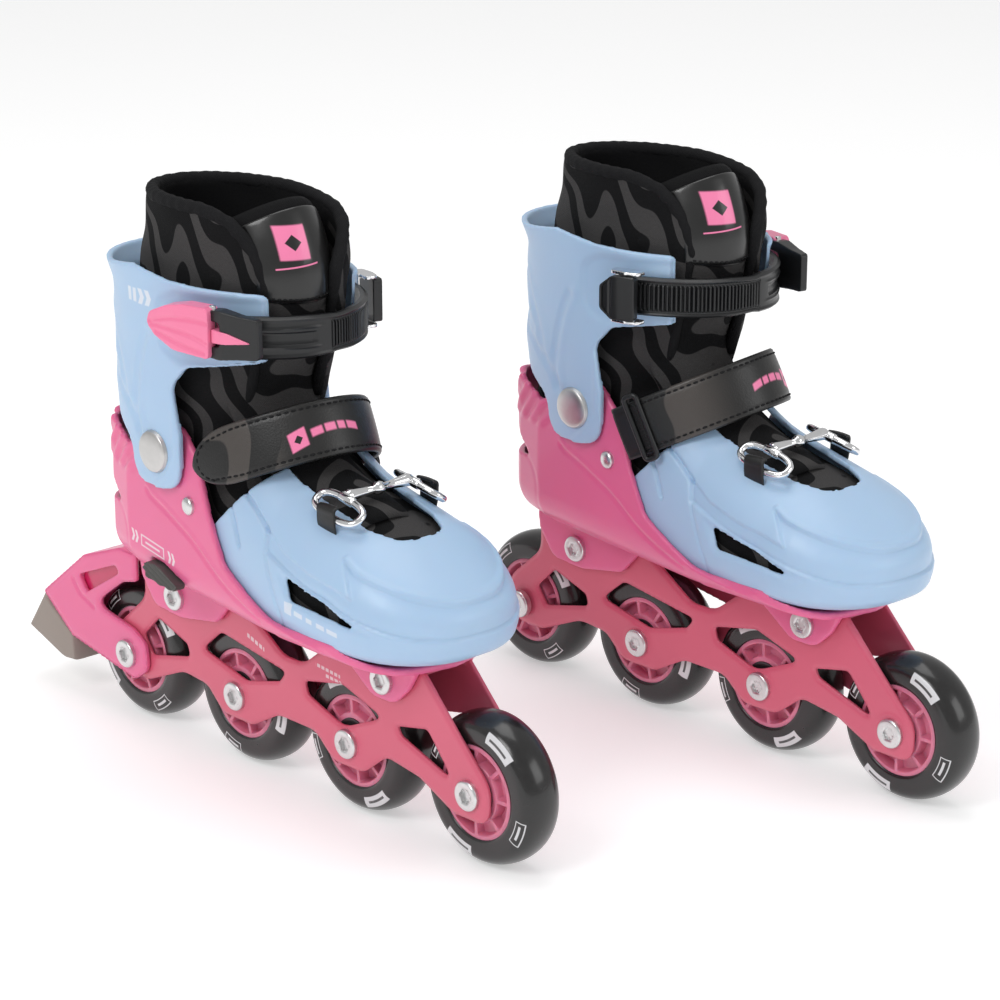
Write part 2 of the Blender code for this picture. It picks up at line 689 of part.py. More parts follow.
def build_brake_arm(name):
    """Fork over the rear wheel: two cheeks on the axle, one roof, and a heel that carries the pad."""
    outline = [
        (-70, 49.5, 2), (-34, 77.5, 6), (-4, 88.5, 8), (8.6, 88, 2), (8.6, 74, 2), (-3, 71, 6), (-27, 54, 5),
        (4, 48.5, 8), (14, 43, 6), (15.5, 30, 8), (5, 22.5, 6), (-18, 26.5, 8), (-46.5, 31.5, 2),
    ]
    arm = plate(name, [rounded(outline, 2)], -ARM_HALF_WIDTH, ARM_HALF_WIDTH, PINK)
    room = [(-38, 30, 2), (-41, 60, 4), (-32, 73, 6), (-4, 84.5, 6), (30, 84.5, 0), (30, 10, 0), (-30, 10, 0)]
    cavity = plate(name + "_room", [rounded(room, 2)], -LOBE_IN, LOBE_IN)
    boolean(arm, cavity)
    boolean(arm, drill(name + "_drill", 0, WHEEL_RADIUS, 4.4 * MM, 40 * MM))
    window = [(-37, 66, 2), (-8, 78.5, 2), (-5, 75, 2), (-31, 59, 2)]
    boolean(arm, side_prism(name + "_window", window, steps=2))
    return arm


def build_brake_pad(name):
    outline = [(-72.8, 48.6, 0), (-88, 26, 1), (-57, 14.5, 3), (-46, 17, 3), (-46.9, 31.0, 0)]
    return plate(name, [rounded(outline, 2)], -17 * MM, 17 * MM, GREY_RUBBER)


# ---------------------------------------------------------------- assembly

def pivot(name, place, parent=None):
    empty = bpy.data.objects.new(name, None)
    PARTS.objects.link(empty)
    empty.parent = parent
    empty.location = place
    empty.empty_display_size = 0.02
    return empty


def seat(obj, empty, place):
    """Hang a piece, and the cutters that shape it, on an empty without moving them."""
    cutters = [step.object for step in obj.modifiers if step.type == "BOOLEAN"]
    for item in [obj] + cutters:
        item.parent = empty
        item.location = Vector(item.location) - Vector(place)


def build_right(root):
    """Every piece of the right skate, hung on the empty of the joint that moves it."""
    home = (0, 0, 0)
    at_ankle = (ANKLE[0], 0, ANKLE[1])
    still = [build_frame("right_frame"), build_heel_shell("right_heel_shell"),
             build_liner_foot("right_liner_foot"), build_instep_strap("right_instep_strap"),
             build_cuff_rivet("right_cuff_rivet_lateral", -1), build_cuff_rivet("right_cuff_rivet_medial", 1)]
    for end, x in zip(("rear", "front"), MOUNT_X):
        bolt = build_bolt(f"right_mount_bolt_{end}", LOBE_OUT + GAP, 6.5 * MM, 3.2 * MM)
        bolt.location = (x, 0, MOUNT_Z)
        still.append(bolt)
    for obj in still:
        seat(obj, root, home)
    moving = (
        ("toe_slide", TOE_REST, [build_toe_shell("right_toe_shell"), build_toe_clip("right_toe_clip")]),
        ("button_slide", BUTTON_REST, [build_size_button("right_size_button")]),
        ("ankle", at_ankle, [build_cuff("right_cuff"), build_liner_collar("right_liner_collar"),
                             build_ladder_strap("right_ladder_strap"),
                             build_ratchet_bracket("right_ratchet_bracket")]),
        ("lever_pin", LEVER_PIN, [build_buckle_lever("right_buckle_lever")]),
        ("ratchet_pin", RATCHET_PIN, [build_ratchet_lever("right_ratchet_lever")]),
    )
    for name, place, pieces in moving:
        empty = pivot(f"right_{name}", place, root)
        for obj in pieces:
            seat(obj, empty, place)
    for number in range(1, 5):
        axle = pivot(f"right_axle_{number}", ((number - 1) * AXLE_PITCH, 0, WHEEL_RADIUS), root)
        shoulder = GAP + (ARM_HALF_WIDTH if number == 1 else PLATE_OUT)
        for obj in (build_wheel(f"right_wheel_{number}", TYRE), build_bearings(f"right_bearings_{number}"),
                    build_bolt(f"right_axle_bolt_{number}", shoulder)):
            seat(obj, axle, home)


def mirror_left(right_root, left_root):
    """Mirrored copy of every right piece but the brake, on a mirrored set of empties."""
    bpy.context.view_layer.update()
    graph = bpy.context.evaluated_depsgraph_get()
    flip = Matrix.Scale(-1, 4, (0, 1, 0))
    empties = {right_root: left_root}
    pieces = []
    for obj in list(PARTS.objects):
        if obj.type == "EMPTY" and obj.parent == right_root:
            x, y, z = obj.location
            empties[obj] = pivot(obj.name.replace(RIGHT, LEFT, 1), (x, -y, z), left_root)
        elif obj.type == "MESH":
            pieces.append(obj)
    for obj in pieces:
        mesh = bpy.data.meshes.new_from_object(obj.evaluated_get(graph))
        local = obj.parent.matrix_world.inverted() @ obj.matrix_world
        mesh.transform(flip @ local)
        mesh.flip_normals()
        copy = new_object(obj.name.replace(RIGHT, LEFT, 1), mesh)
        copy.parent = empties[obj.parent]


def build_brake(root):
    for obj in (build_brake_arm("right_brake_arm"), build_brake_pad("right_brake_pad")):
        seat(obj, root, (0, 0, 0))


def main():
    right_root = pivot("right_skate", (*RIGHT_ORIGIN, 0))
    left_root = pivot("left_skate", (RIGHT_ORIGIN[0] + LEFT_STEP[0], RIGHT_ORIGIN[1] + LEFT_STEP[1], 0))
    build_right(right_root)
    mirror_left(right_root, left_root)
    build_brake(right_root)


main()
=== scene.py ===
"""A pair of adjustable inline skates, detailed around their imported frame.

Every piece is made in the right skate's own millimetres: X forward from the rear axle, Y to the skater's left,
Z up from the floor, the outer side at -Y. The left skate takes the mirrored piece.
"""
import json
import math

import bmesh
import bpy
import numpy as np
from mathutils import Matrix, Vector


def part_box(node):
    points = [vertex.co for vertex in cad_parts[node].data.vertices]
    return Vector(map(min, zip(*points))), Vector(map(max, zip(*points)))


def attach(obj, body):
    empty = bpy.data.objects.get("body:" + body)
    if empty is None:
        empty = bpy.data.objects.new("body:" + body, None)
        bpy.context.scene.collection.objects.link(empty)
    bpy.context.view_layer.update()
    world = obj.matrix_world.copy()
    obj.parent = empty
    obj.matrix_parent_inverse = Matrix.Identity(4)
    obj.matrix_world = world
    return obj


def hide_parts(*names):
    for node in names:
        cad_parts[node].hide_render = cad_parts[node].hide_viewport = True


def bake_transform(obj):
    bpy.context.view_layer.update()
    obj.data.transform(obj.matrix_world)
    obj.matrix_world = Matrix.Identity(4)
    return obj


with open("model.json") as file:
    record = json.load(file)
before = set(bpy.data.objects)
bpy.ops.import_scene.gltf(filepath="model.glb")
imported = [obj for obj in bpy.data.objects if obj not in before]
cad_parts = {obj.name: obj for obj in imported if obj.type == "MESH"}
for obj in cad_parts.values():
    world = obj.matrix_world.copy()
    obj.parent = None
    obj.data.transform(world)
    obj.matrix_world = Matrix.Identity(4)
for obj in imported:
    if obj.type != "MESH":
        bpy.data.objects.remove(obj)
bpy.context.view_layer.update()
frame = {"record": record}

bl_info = {
    "name": "Adjustable inline skates",
    "version": (1, 0, 0),
    "blender": (4, 5, 0),
    "location": "View3D > Sidebar > Skates",
    "description": "Builds the shells, liners, straps, frames and wheels of a pair of inline skates",
    "category": "Object",
}

MM = 0.001
ACROSS = Matrix.Diagonal((1, -1, 1, 1))
SIDES = ("right", "left")
AXLE_Z = 35.0
AXLE_PITCH = 81.0
ANKLE = (65.5, 159.0)
LEVER_PIN = (112.0, -42.3, 224.0)
RATCHET_PIN = (107.5, 45.9, 221.5)
CLIP = (168.5, 24.0, 151.4)


# ---------------------------------------------------------------- sizes and colours

def colour(name, text, value):
    """Colour swatch of the panel."""
    return bpy.props.FloatVectorProperty(name=name, description=text, default=value, size=3,
                                         subtype="COLOR", min=0, max=1)


class SkateSizes(bpy.types.PropertyGroup):
    """Sizes a maker would change; all in millimetres."""
    shell_grain: bpy.props.FloatProperty(name="Shell cell", description="Cell the shells are moulded at, mm",
                                         default=0.9, min=0.5, max=4)
    frame_grain: bpy.props.FloatProperty(name="Frame cell", description="Cell the frames are moulded at, mm",
                                         default=0.62, min=0.4, max=3)
    small_grain: bpy.props.FloatProperty(name="Small part cell", description="Cell of buckles and clips, mm",
                                         default=0.36, min=0.3, max=2)
    rim_roll: bpy.props.FloatProperty(name="Rim roll", description="Radius of the liner's rolled edge, mm",
                                      default=3.7, min=1, max=6)
    wheel_crown: bpy.props.FloatProperty(name="Wheel radius", description="Rolling radius of a wheel, mm",
                                         default=35.0, min=30, max=38)
    stitch_pitch: bpy.props.FloatProperty(name="Stitch pitch", description="Distance between stitches, mm",
                                          default=3.4, min=1.5, max=6)


class SkateColours(bpy.types.PropertyGroup):
    """Base colours of the finishes."""
    blue: colour("Cuff and toe", "Satin moulded plastic", (0.385, 0.545, 0.745))
    pink: colour("Heel shell", "Gloss moulded plastic", (0.76, 0.135, 0.30))
    coral: colour("Frame", "Painted composite", (0.63, 0.105, 0.175))
    hub: colour("Hub", "Clear pink urethane core", (0.62, 0.17, 0.27))
    tyre: colour("Tyre", "Cast urethane", (0.007, 0.0065, 0.0065))
    knit: colour("Liner", "Black knit", (0.006, 0.006, 0.0065))
    stripe: colour("Liner stripe", "Printed wavy stripes", (0.050, 0.048, 0.048))
    hide: colour("Strap", "Black coated leather", (0.007, 0.007, 0.007))
    nylon: colour("Buckle", "Black moulded nylon", (0.008, 0.0085, 0.0095))
    pad: colour("Brake pad", "Warm grey rubber", (0.30, 0.255, 0.225))
    button: colour("Size button", "Dark grey nylon", (0.075, 0.072, 0.068))
    print: colour("Printed marks", "Pale ink", (0.80, 0.80, 0.82))
    badge: colour("Badges", "Pink ink on the strap and the tongue", (0.86, 0.21, 0.40))
    lever: colour("Lever", "Gloss moulded plastic", (0.86, 0.20, 0.36))
    floor: colour("Floor", "Matt studio floor", (0.74, 0.74, 0.74))


# ---------------------------------------------------------------- finishes

class Wire:
    """One output socket of a material, with arithmetic."""

    def __init__(self, paint, socket):
        self.paint, self.socket = paint, socket

    def __add__(self, other):
        return self.paint.math("ADD", self, other)

    def __sub__(self, other):
        return self.paint.math("SUBTRACT", self, other)

    def __rsub__(self, other):
        return self.paint.math("SUBTRACT", other, self)

    def __mul__(self, other):
        return self.paint.math("MULTIPLY", self, other)

    def __truediv__(self, other):
        return self.paint.math("DIVIDE", self, other)

    __radd__ = __add__
    __rmul__ = __mul__


class Paint:
    """One finish: a shader with constants on it, and the nodes that vary over the surface."""

    def __init__(self, name, **constants):
        self.material = bpy.data.materials.new(name)
        self.material.use_nodes = True
        self.tree = self.material.node_tree
        self.shader = self.tree.nodes["Principled BSDF"]
        for key, value in constants.items():
            self.feed(self.shader.inputs[key.replace("_", " ").title().replace("Ior", "IOR")], value)

    def feed(self, socket, value):
        if isinstance(value, Wire):
            self.tree.links.new(value.socket, socket)
        elif hasattr(value, "__len__") and len(value) == 3 and socket.type == "RGBA":
            socket.default_value = (*value, 1)
        else:
            socket.default_value = value

    def node(self, kind, settings=None, inputs=None, out=0):
        made = self.tree.nodes.new("ShaderNode" + kind)
        for key, value in (settings or {}).items():
            setattr(made, key, value)
        for key, value in (inputs or {}).items():
            self.feed(made.inputs[key], value)
        return Wire(self, made.outputs[out])

    def math(self, kind, *values):
        return self.node("Math", {"operation": kind}, dict(enumerate(values)))

    def mix(self, factor, first, second):
        return self.node("Mix", {"data_type": "RGBA"}, {0: factor, 6: first, 7: second}, 2)

    def step(self, value, low, high):
        """0 below low, 1 above high, smooth between."""
        return self.node("MapRange", {"interpolation_type": "SMOOTHSTEP"},
                         {"Value": value, "From Min": low, "From Max": high})

    def place(self):
        """Place on the piece in millimetres: the vector, then its X, Y and Z."""
        vector = self.node("Attribute", {"attribute_name": "place"}, out="Vector")
        return (vector, *(self.node("SeparateXYZ", None, {0: vector}, i) for i in range(3)))

    def noise(self, vector, scale, detail=2.0):
        return self.node("TexNoise", None, {"Vector": vector, "Scale": scale, "Detail": detail}, "Fac")

    def block(self, u, v, centre, half, soft=0.25):
        """Mask of a plain rectangle in two coordinates."""
        across = self.math("ABSOLUTE", u - centre[0])
        up = self.math("ABSOLUTE", v - centre[1])
        return (1 - self.step(across, half[0] - soft, half[0] + soft)) * \
               (1 - self.step(up, half[1] - soft, half[1] + soft))

    def bump(self, height, depth):
        """Relief of a height field, its full depth in millimetres."""
        normal = self.node("Bump", None, {"Height": height, "Distance": depth * MM, "Strength": 1.0}, "Normal")
        self.feed(self.shader.inputs["Normal"], normal)

    def set(self, **fields):
        for key, value in fields.items():
            self.feed(self.shader.inputs[key.replace("_", " ").title()], value)


def tones(base, dark=0.85, light=1.1):
    """A darker and a lighter tone of a colour."""
    return tuple(c * dark for c in base), tuple(min(c * light, 1) for c in base)


def moulded_finish(name, base, rough, print_of=None, ink=None, grain=0.02, **constants):
    """Moulded plastic: cloudy tone, a fine spark-eroded grain, uneven gloss and printed marks."""
    paint = Paint(name, **constants)
    vector, x, y, z = paint.place()
    cloud = paint.noise(vector, 0.02, 3)
    fine = paint.noise(vector, 2.6, 2)
    dark, light = tones(base, 0.95, 1.05)
    tint = paint.mix(cloud, dark, light)
    gloss = rough + (cloud - 0.5) * 0.12 + (fine - 0.5) * 0.06
    if print_of:
        mark = print_of(paint, x, y, z)
        tint = paint.mix(mark, tint, ink)
        gloss = gloss + mark * 0.08
    paint.set(base_color=tint, roughness=gloss)
    paint.bump(fine, grain)
    return paint.material


def toe_marks(paint, x, y, z):
    """A plain tile and four short bars low on the outer side of the toe."""
    low = 107.2 - (x - 160) * 0.10
    tile = paint.block(x, z - low, (159.5, 0), (2.6, 2.6), 0.3)
    for index, width in enumerate((3.0, 2.0, 2.6, 3.4)):
        bar = paint.block(x, z - low, (167 + index * 7.6, -0.3), (width, 1.1), 0.3)
        tile = paint.math("MAXIMUM", tile, bar)
    return tile * (1 - paint.step(y, -31, -30)) * 0.55


def heel_marks(paint, x, y, z):
    """A rounded bar outline between two pairs of chevrons on the outer side of the heel."""
    level = z - (111.2 - (x - 39) * 0.125)
    bar = paint.block(x, level, (55.3, 0), (9.6, 2.9), 0.3) - paint.block(x, level, (55.3, 0), (8.9, 2.2), 0.3)
    mark = bar + paint.block(x, level, (55.3, 0), (6.0, 0.45), 0.3)
    for centre in (39.0, 42.0, 69.2, 72.2):
        lean = x + paint.math("ABSOLUTE", level) * 0.45
        mark = mark + paint.block(lean, level, (centre + 0.8, 0), (0.8, 3.0), 0.25)
    return mark * (1 - paint.step(y, -31, -30)) * 0.75


def cuff_marks(paint, x, y, z):
    """Two short round-ended bars and two solid darts by the top of the outer side."""
    level = z - (230.5 + (x - 48) * 0.02)
    mark = paint.block(x, level, (49.5, 0), (1.4, 3.2), 0.5) + paint.block(x, level, (54.0, 0), (1.4, 3.2), 0.5)
    for centre in (60.5, 66.0):
        lean = x + paint.math("ABSOLUTE", level) * 0.55
        mark = mark + paint.block(lean, level, (centre, 0), (1.7, 3.6), 0.4)
    return mark * (1 - paint.step(y, -31, -30)) * 0.65


def frame_marks(paint, x, y, z):
    """Rows of small dashes where size marks would be."""
    slant = z - (59.6 - (x - 105) * 0.33)
    dash = paint.math("PINGPONG", x, 1.5)
    row = paint.block(x, slant, (97, 4.1), (6.2, 1.0), 0.2) * paint.step(dash, 0.35, 0.55)
    for level, centre, half in ((0.6, 149, 8.5), (-2.4, 152.5, 5)):
        line = z - (66.2 - (x - 149) * 0.09) - level
        row = row + paint.block(x, line, (centre, 0), (half, 0.8), 0.2) * paint.step(dash, 0.35, 0.55)
    return row * (1 - paint.step(y, -13.5, -13)) * 0.6


def tyre_finish(name, base, ink):
    """Cast urethane: near black, wet gloss, with four curved labels on each side, two of them solid."""
    paint = Paint(name, coat_weight=0.2, coat_roughness=0.06, specular_ior_level=0.5)
    vector, x, y, z = paint.place()
    radius = paint.math("SQRT", x * x + z * z)
    angle = paint.math("ARCTAN2", z, x)
    mark = None
    for turn, solid in ((1.04, 1), (-0.40, 0), (-1.95, 1), (2.6, 0)):
        gap = paint.math("WRAP", angle - turn, math.pi, -math.pi) * 29
        half = 8.2 if solid else 6.2
        outer = paint.block(gap, radius, (0, 29.0), (half, 2.6), 0.15)
        inner = paint.block(gap, radius, (0, 29.0), (half - 0.45, 2.15), 0.12)
        bars = paint.block(gap, radius, (0.4, 29.0), (half - 2.4, 0.6), 0.15)
        label = outer - (bars * 0.9 if solid else inner) + (0 if solid else bars)
        mark = label if mark is None else mark + label
    mark = mark * paint.step(paint.math("ABSOLUTE", y), 7.5, 8)
    scuff = paint.noise(vector, 0.35, 4)
    tint = paint.mix(scuff, base, tuple(c * 2.2 for c in base))
    paint.set(base_color=paint.mix(mark * 0.8, tint, ink), roughness=0.16 + scuff * 0.16 + mark * 0.25)
    paint.bump(paint.noise(vector, 1.5, 2), 0.012)
    return paint.material


def clear_core_finish(name, base):
    """Clear pink urethane core with flow clouds."""
    paint = Paint(name, coat_weight=0.3, coat_roughness=0.15, subsurface_weight=0.25, subsurface_scale=0.004)
    vector = paint.place()[0]
    cloud = paint.noise(vector, 0.12, 4)
    dark, light = tones(base, 0.75, 1.25)
    paint.set(base_color=paint.mix(cloud, dark, light), roughness=0.28 + cloud * 0.14)
    paint.bump(paint.noise(vector, 0.9, 2), 0.02)
    return paint.material


def metal_finish(name, base, rough, brushed=0.08):
    """Plated metal, faintly brushed, with dull patches."""
    paint = Paint(name, metallic=1.0)
    vector = paint.place()[0]
    patch = paint.noise(vector, 0.25, 4)
    fine = paint.noise(vector, 3.5, 2)
    dark, light = tones(base, 0.82, 1.05)
    paint.set(base_color=paint.mix(patch, dark, light), roughness=rough + patch * 0.1 + fine * brushed)
    paint.bump(fine, 0.008)
    return paint.material


def wavy(paint, vector, period, twist):
    """Broad wavy stripes as a 0 to 1 mask."""
    wave = paint.node("TexWave", {"wave_type": "BANDS", "bands_direction": "DIAGONAL"},
                      {"Vector": vector, "Scale": 0.314 / period, "Distortion": twist, "Detail": 0.0,
                       "Detail Scale": 1.7}, "Fac")
    return paint.step(wave, 0.52, 0.60)


def knit_finish(name, base, stripe=None):
    """Close knit: fine ribs, loft and, on the outside, wavy printed stripes."""
    paint = Paint(name, specular_ior_level=0.14)
    vector, x, y, z = paint.place()
    rib = paint.math("SINE", z * 6.3) * paint.math("SINE", (x + y) * 5.2)
    loft = paint.noise(vector, 1.3, 5)
    dark, light = tones(base, 0.7, 1.6)
    tint = paint.mix(loft, dark, light)
    if stripe:
        mask = wavy(paint, vector, 15, 9.0)
        inner = ((x - 75.5) / 55) * ((x - 75.5) / 55) + (y / 35.4) * (y / 35.4)
        mask = mask * paint.math("MAXIMUM", paint.step(inner, 0.87, 0.90), 1 - paint.step(z, 228, 232))
        speck = paint.noise(vector, 2.0, 3)
        ink = paint.mix(speck, tuple(c * 0.72 for c in stripe), tuple(c * 1.4 for c in stripe))
        tint = paint.mix(mask, tint, ink)
    paint.set(base_color=tint, roughness=0.82 + loft * 0.12)
    paint.bump(rib * 0.25 + loft, 0.35 if not stripe else 0.22)
    return paint.material


def hide_finish(name, base, stripe=None, ink=None, rough=0.36):
    """Coated leather: pebbled grain and, on the strap, pale wavy areas towards its ends."""
    paint = Paint(name, specular_ior_level=0.5)
    vector, x, y, z = paint.place()
    cells = paint.node("TexVoronoi", None, {"Vector": vector, "Scale": 1.1}, "Distance")
    cloud = paint.noise(vector, 0.08, 3)
    dark, light = tones(base, 0.8, 1.35)
    tint = paint.mix(cloud, dark, light)
    if stripe:
        ends = 1 - paint.step(y, -36, -24) * (1 - paint.step(y, 14, 34))
        tint = paint.mix(wavy(paint, vector, 22, 6.0) * (0.06 + ends * 0.94), tint, stripe)
        level = z - (190.8 - (x - 128) * 0.06 - (y + 5) * (y + 5) * 0.018)
        diamond = paint.math("ABSOLUTE", y + 21.5) + paint.math("ABSOLUTE", level + 9.5)
        mark = paint.block(y, level, (-21.5, -9.5), (3.4, 3.6), 0.4) * paint.step(diamond, 1.6, 1.9)
        for centre, half in ((-13.5, 2.6), (-7.2, 2.6), (-1.6, 1.9), (4.2, 2.8)):
            mark = mark + paint.block(y, level, (centre, -9.5 + (centre + 15) * 0.02), (half, 1.5), 0.5)
        tint = paint.mix(mark, tint, ink)
    paint.set(base_color=tint, roughness=rough + cloud * 0.12 - cells * 0.08)
    paint.bump(cells, 0.05)
    return paint.material


def patch_finish(name, base, ink):
    """Glossy coated panel with a plain tile, a diamond let into it, and one thin line under it."""
    paint = Paint(name, coat_weight=0.3, coat_roughness=0.1)
    vector, _, y, z = paint.place()
    cloud = paint.noise(vector, 0.1, 3)
    dark, light = tones(base, 0.5, 0.9)
    tile = paint.block(y, z, (-10.5, 261), (6.4, 7.4), 0.5)
    diamond = paint.math("ABSOLUTE", y + 10.5) + paint.math("ABSOLUTE", z - 261)
    mark = tile * paint.step(diamond, 3.3, 3.7)
    mark = mark + paint.block(y, z - (y + 10) * 0.09, (-9.8, 250.6), (9.2, 0.35), 0.15)
    tint = paint.mix(mark, paint.mix(cloud, dark, light), ink)
    paint.set(base_color=tint, roughness=0.24 + cloud * 0.14 + mark * 0.12)
    paint.bump(paint.noise(vector, 0.7, 2), 0.02)
    return paint.material


def floor_finish(name, base):
    """Matt pale floor, lifted a little so that it stays clear of coloured bounce."""
    paint = Paint(name)
    cloud = paint.noise(paint.node("TexCoord", out="Object"), 3.0, 3)
    dark, light = tones(base, 0.985, 1.0)
    paint.set(base_color=paint.mix(cloud, dark, light), roughness=0.75 + cloud * 0.1,
              emission_color=(1, 1, 1), emission_strength=0.42)
    paint.bump(cloud, 0.05)
    return paint.material


FINISHES = {}


def finishes(context):
    """Every finish by its plain name, made once."""
    if FINISHES:
        return FINISHES
    tone = {key: tuple(getattr(context.scene.skate_colours, key)) for key in SkateColours.__annotations__}
    ink = tone["print"]
    FINISHES.update({
        "blue": moulded_finish("blue_moulded", tone["blue"], 0.42, cuff_marks, ink, coat_weight=0.08,
                               subsurface_weight=0.10, subsurface_scale=0.002),
        "toe_blue": moulded_finish("blue_toe_moulded", tone["blue"], 0.40, toe_marks, ink, coat_weight=0.08,
                                   subsurface_weight=0.10, subsurface_scale=0.002),
        "pink": moulded_finish("pink_moulded", tone["pink"], 0.34, heel_marks, ink, coat_weight=0.12,
                               subsurface_weight=0.12, subsurface_scale=0.002),
        "lever_pink": moulded_finish("pink_lever", tone["lever"], 0.3, coat_weight=0.2),
        "window": moulded_finish("magenta_window", (0.55, 0.015, 0.10), 0.2, coat_weight=0.4),
        "coral": moulded_finish("coral_paint", tone["coral"], 0.36, frame_marks, ink, coat_weight=0.15),
        "hub": clear_core_finish("clear_pink_core", tone["hub"]),
        "tyre": tyre_finish("black_urethane_tyre", tone["tyre"], ink),
        "shield": moulded_finish("bearing_shield", (0.02, 0.02, 0.022), 0.35),
        "zinc": metal_finish("zinc_plate", (0.72, 0.72, 0.72), 0.2),
        "satin": metal_finish("satin_rivet", (0.62, 0.61, 0.60), 0.3),
        "chrome": metal_finish("chrome_plate", (0.86, 0.86, 0.87), 0.04, 0.03),
        "knit": knit_finish("striped_knit", tone["knit"], tone["stripe"]),
        "fleece": knit_finish("black_fleece", tuple(c * 1.7 for c in tone["knit"])),
        "hide": hide_finish("strap_hide", tone["hide"], (0.060, 0.052, 0.047), tone["badge"]),
        "tab": hide_finish("tab_hide", tone["hide"], rough=0.42),
        "patch": patch_finish("tongue_panel", tone["hide"], tone["badge"]),
        "thread": knit_finish("black_thread", (0.016, 0.016, 0.017)),
        "nylon": moulded_finish("black_nylon", tone["nylon"], 0.36),
        "button": moulded_finish("grey_nylon", tone["button"], 0.45),
        "rubber": moulded_finish("grey_rubber", tone["pad"], 0.62, grain=0.06),
        "floor": floor_finish("studio_floor", tone["floor"]),
    })
    return FINISHES


# ---------------------------------------------------------------- bench: making meshes in millimetres

def new_mesh(name, verts, faces):
    """Linked object with its normals facing out."""
    mesh = bpy.data.meshes.new(name)
    mesh.from_pydata([tuple(v) for v in verts], [], faces)
    shape = bmesh.new()
    shape.from_mesh(mesh)
    bmesh.ops.recalc_face_normals(shape, faces=shape.faces)
    shape.to_mesh(mesh)
    shape.free()
    obj = bpy.data.objects.new(name, mesh)
    bpy.context.scene.collection.objects.link(obj)
    return obj


def discard(obj):
    mesh = obj.data
    bpy.data.objects.remove(obj)
    bpy.data.meshes.remove(mesh)


def settle(obj):
    """Apply every modifier."""
    bpy.context.view_layer.update()
    graph = bpy.context.evaluated_depsgraph_get()
    mesh = bpy.data.meshes.new_from_object(obj.evaluated_get(graph))
    old = obj.data
    obj.modifiers.clear()
    obj.data = mesh
    bpy.data.meshes.remove(old)
    return obj


def volume(mesh):
    """Volume of a closed mesh, or 0 if more than a few of its edges are open."""
    shape = bmesh.new()
    shape.from_mesh(mesh)
    loose = sum(not edge.is_manifold for edge in shape.edges)
    size = 0 if loose > 0.02 * len(shape.edges) else abs(shape.calc_volume())
    shape.free()
    return size


def shaped(obj, *steps):
    """Apply booleans in order; each step is an operation sign and a cutter, which is used up.

    The exact solver can lose a part of thin shells. A result whose volume can't be right is thrown away
    and the step is made again with the cutter a thousandth of a millimetre further on.
    """
    kinds = {"+": "UNION", "-": "DIFFERENCE", "&": "INTERSECT"}
    for sign, cutter in steps:
        before, tool, start = volume(obj.data), volume(cutter.data), obj.data.copy()
        low, high = {"+": (max(before, tool), before + tool), "-": (max(before - tool, 0), before),
                     "&": (0, min(before, tool))}[sign]
        for _ in range(12):
            cut = obj.modifiers.new("shape", "BOOLEAN")
            cut.operation, cut.object, cut.solver = kinds[sign], cutter, "EXACT"
            size = volume(settle(obj).data)
            if size > 0 and low * 0.995 <= size <= high * 1.005:
                break
            obj.data = start.copy()
            cutter.data.transform(shift(0.0011, 0.0013, -0.0007))
        else:
            raise RuntimeError("a boolean fails on " + obj.name)
        bpy.data.meshes.remove(start)
        discard(cutter)
    return obj


def merged(*objects):
    """Join meshes without cutting them."""
    verts, faces = [], []
    for obj in objects:
        base = len(verts)
        verts += [tuple(v.co) for v in obj.data.vertices]
        faces += [[base + i for i in face.vertices] for face in obj.data.polygons]
        discard(obj)
    mesh = bpy.data.meshes.new("merged")
    mesh.from_pydata(verts, [], faces)
    made = bpy.data.objects.new("merged", mesh)
    bpy.context.scene.collection.objects.link(made)
    return made


def moulded(obj, cell, rounds=6):
    """Re-skin a solid at an even cell and relax it, which rounds every edge as a mould does."""
    skin = obj.modifiers.new("skin", "REMESH")
    skin.mode, skin.voxel_size, skin.adaptivity = "VOXEL", cell, 0
    relax = obj.modifiers.new("relax", "SMOOTH")
    relax.factor, relax.iterations = 0.5, rounds
    return settle(obj)


def arrays(obj):
    """Vertex places and normals as arrays."""
    count = len(obj.data.vertices)
    places, normals = np.empty(count * 3), np.empty(count * 3)
    obj.data.vertices.foreach_get("co", places)
    obj.data.vertices.foreach_get("normal", normals)
    return places.reshape(-1, 3), normals.reshape(-1, 3)


def sculpt(obj, rise):
    """Move every vertex along its normal by rise(places, normals), in millimetres."""
    places, normals = arrays(obj)
    places += normals * rise(places, normals)[:, None]
    obj.data.vertices.foreach_set("co", places.ravel())
    obj.data.update()
    return obj


def transformed(obj, matrix):
    """Move a bench piece, mirrored or not."""
    obj.data.transform(matrix)
    if matrix.determinant() < 0:
        obj.data.flip_normals()
    return obj


def turn(axis, degrees):
    return Matrix.Rotation(math.radians(degrees), 4, axis)


def shift(x, y, z):
    return Matrix.Translation((x, y, z))


def rounded(corners, steps=6):
    """Outline from (u, v, radius) corners, each turned into a curve."""
    points = []
    for index, (u, v, radius) in enumerate(corners):
        here = Vector((u, v))
        back = Vector(corners[index - 1][:2]) - here
        ahead = Vector(corners[(index + 1) % len(corners)][:2]) - here
        half = back.angle(ahead) / 2
        if radius <= 0 or half > math.radians(88):
            points.append(tuple(here))
            continue
        reach = min(radius / math.tan(half), 0.49 * back.length, 0.49 * ahead.length)
        start, end = here + back.normalized() * reach, here + ahead.normalized() * reach
        for step in range(steps + 1):
            t = step / steps
            points.append(tuple(start * (1 - t) ** 2 + here * 2 * t * (1 - t) + end * t ** 2))
    return points


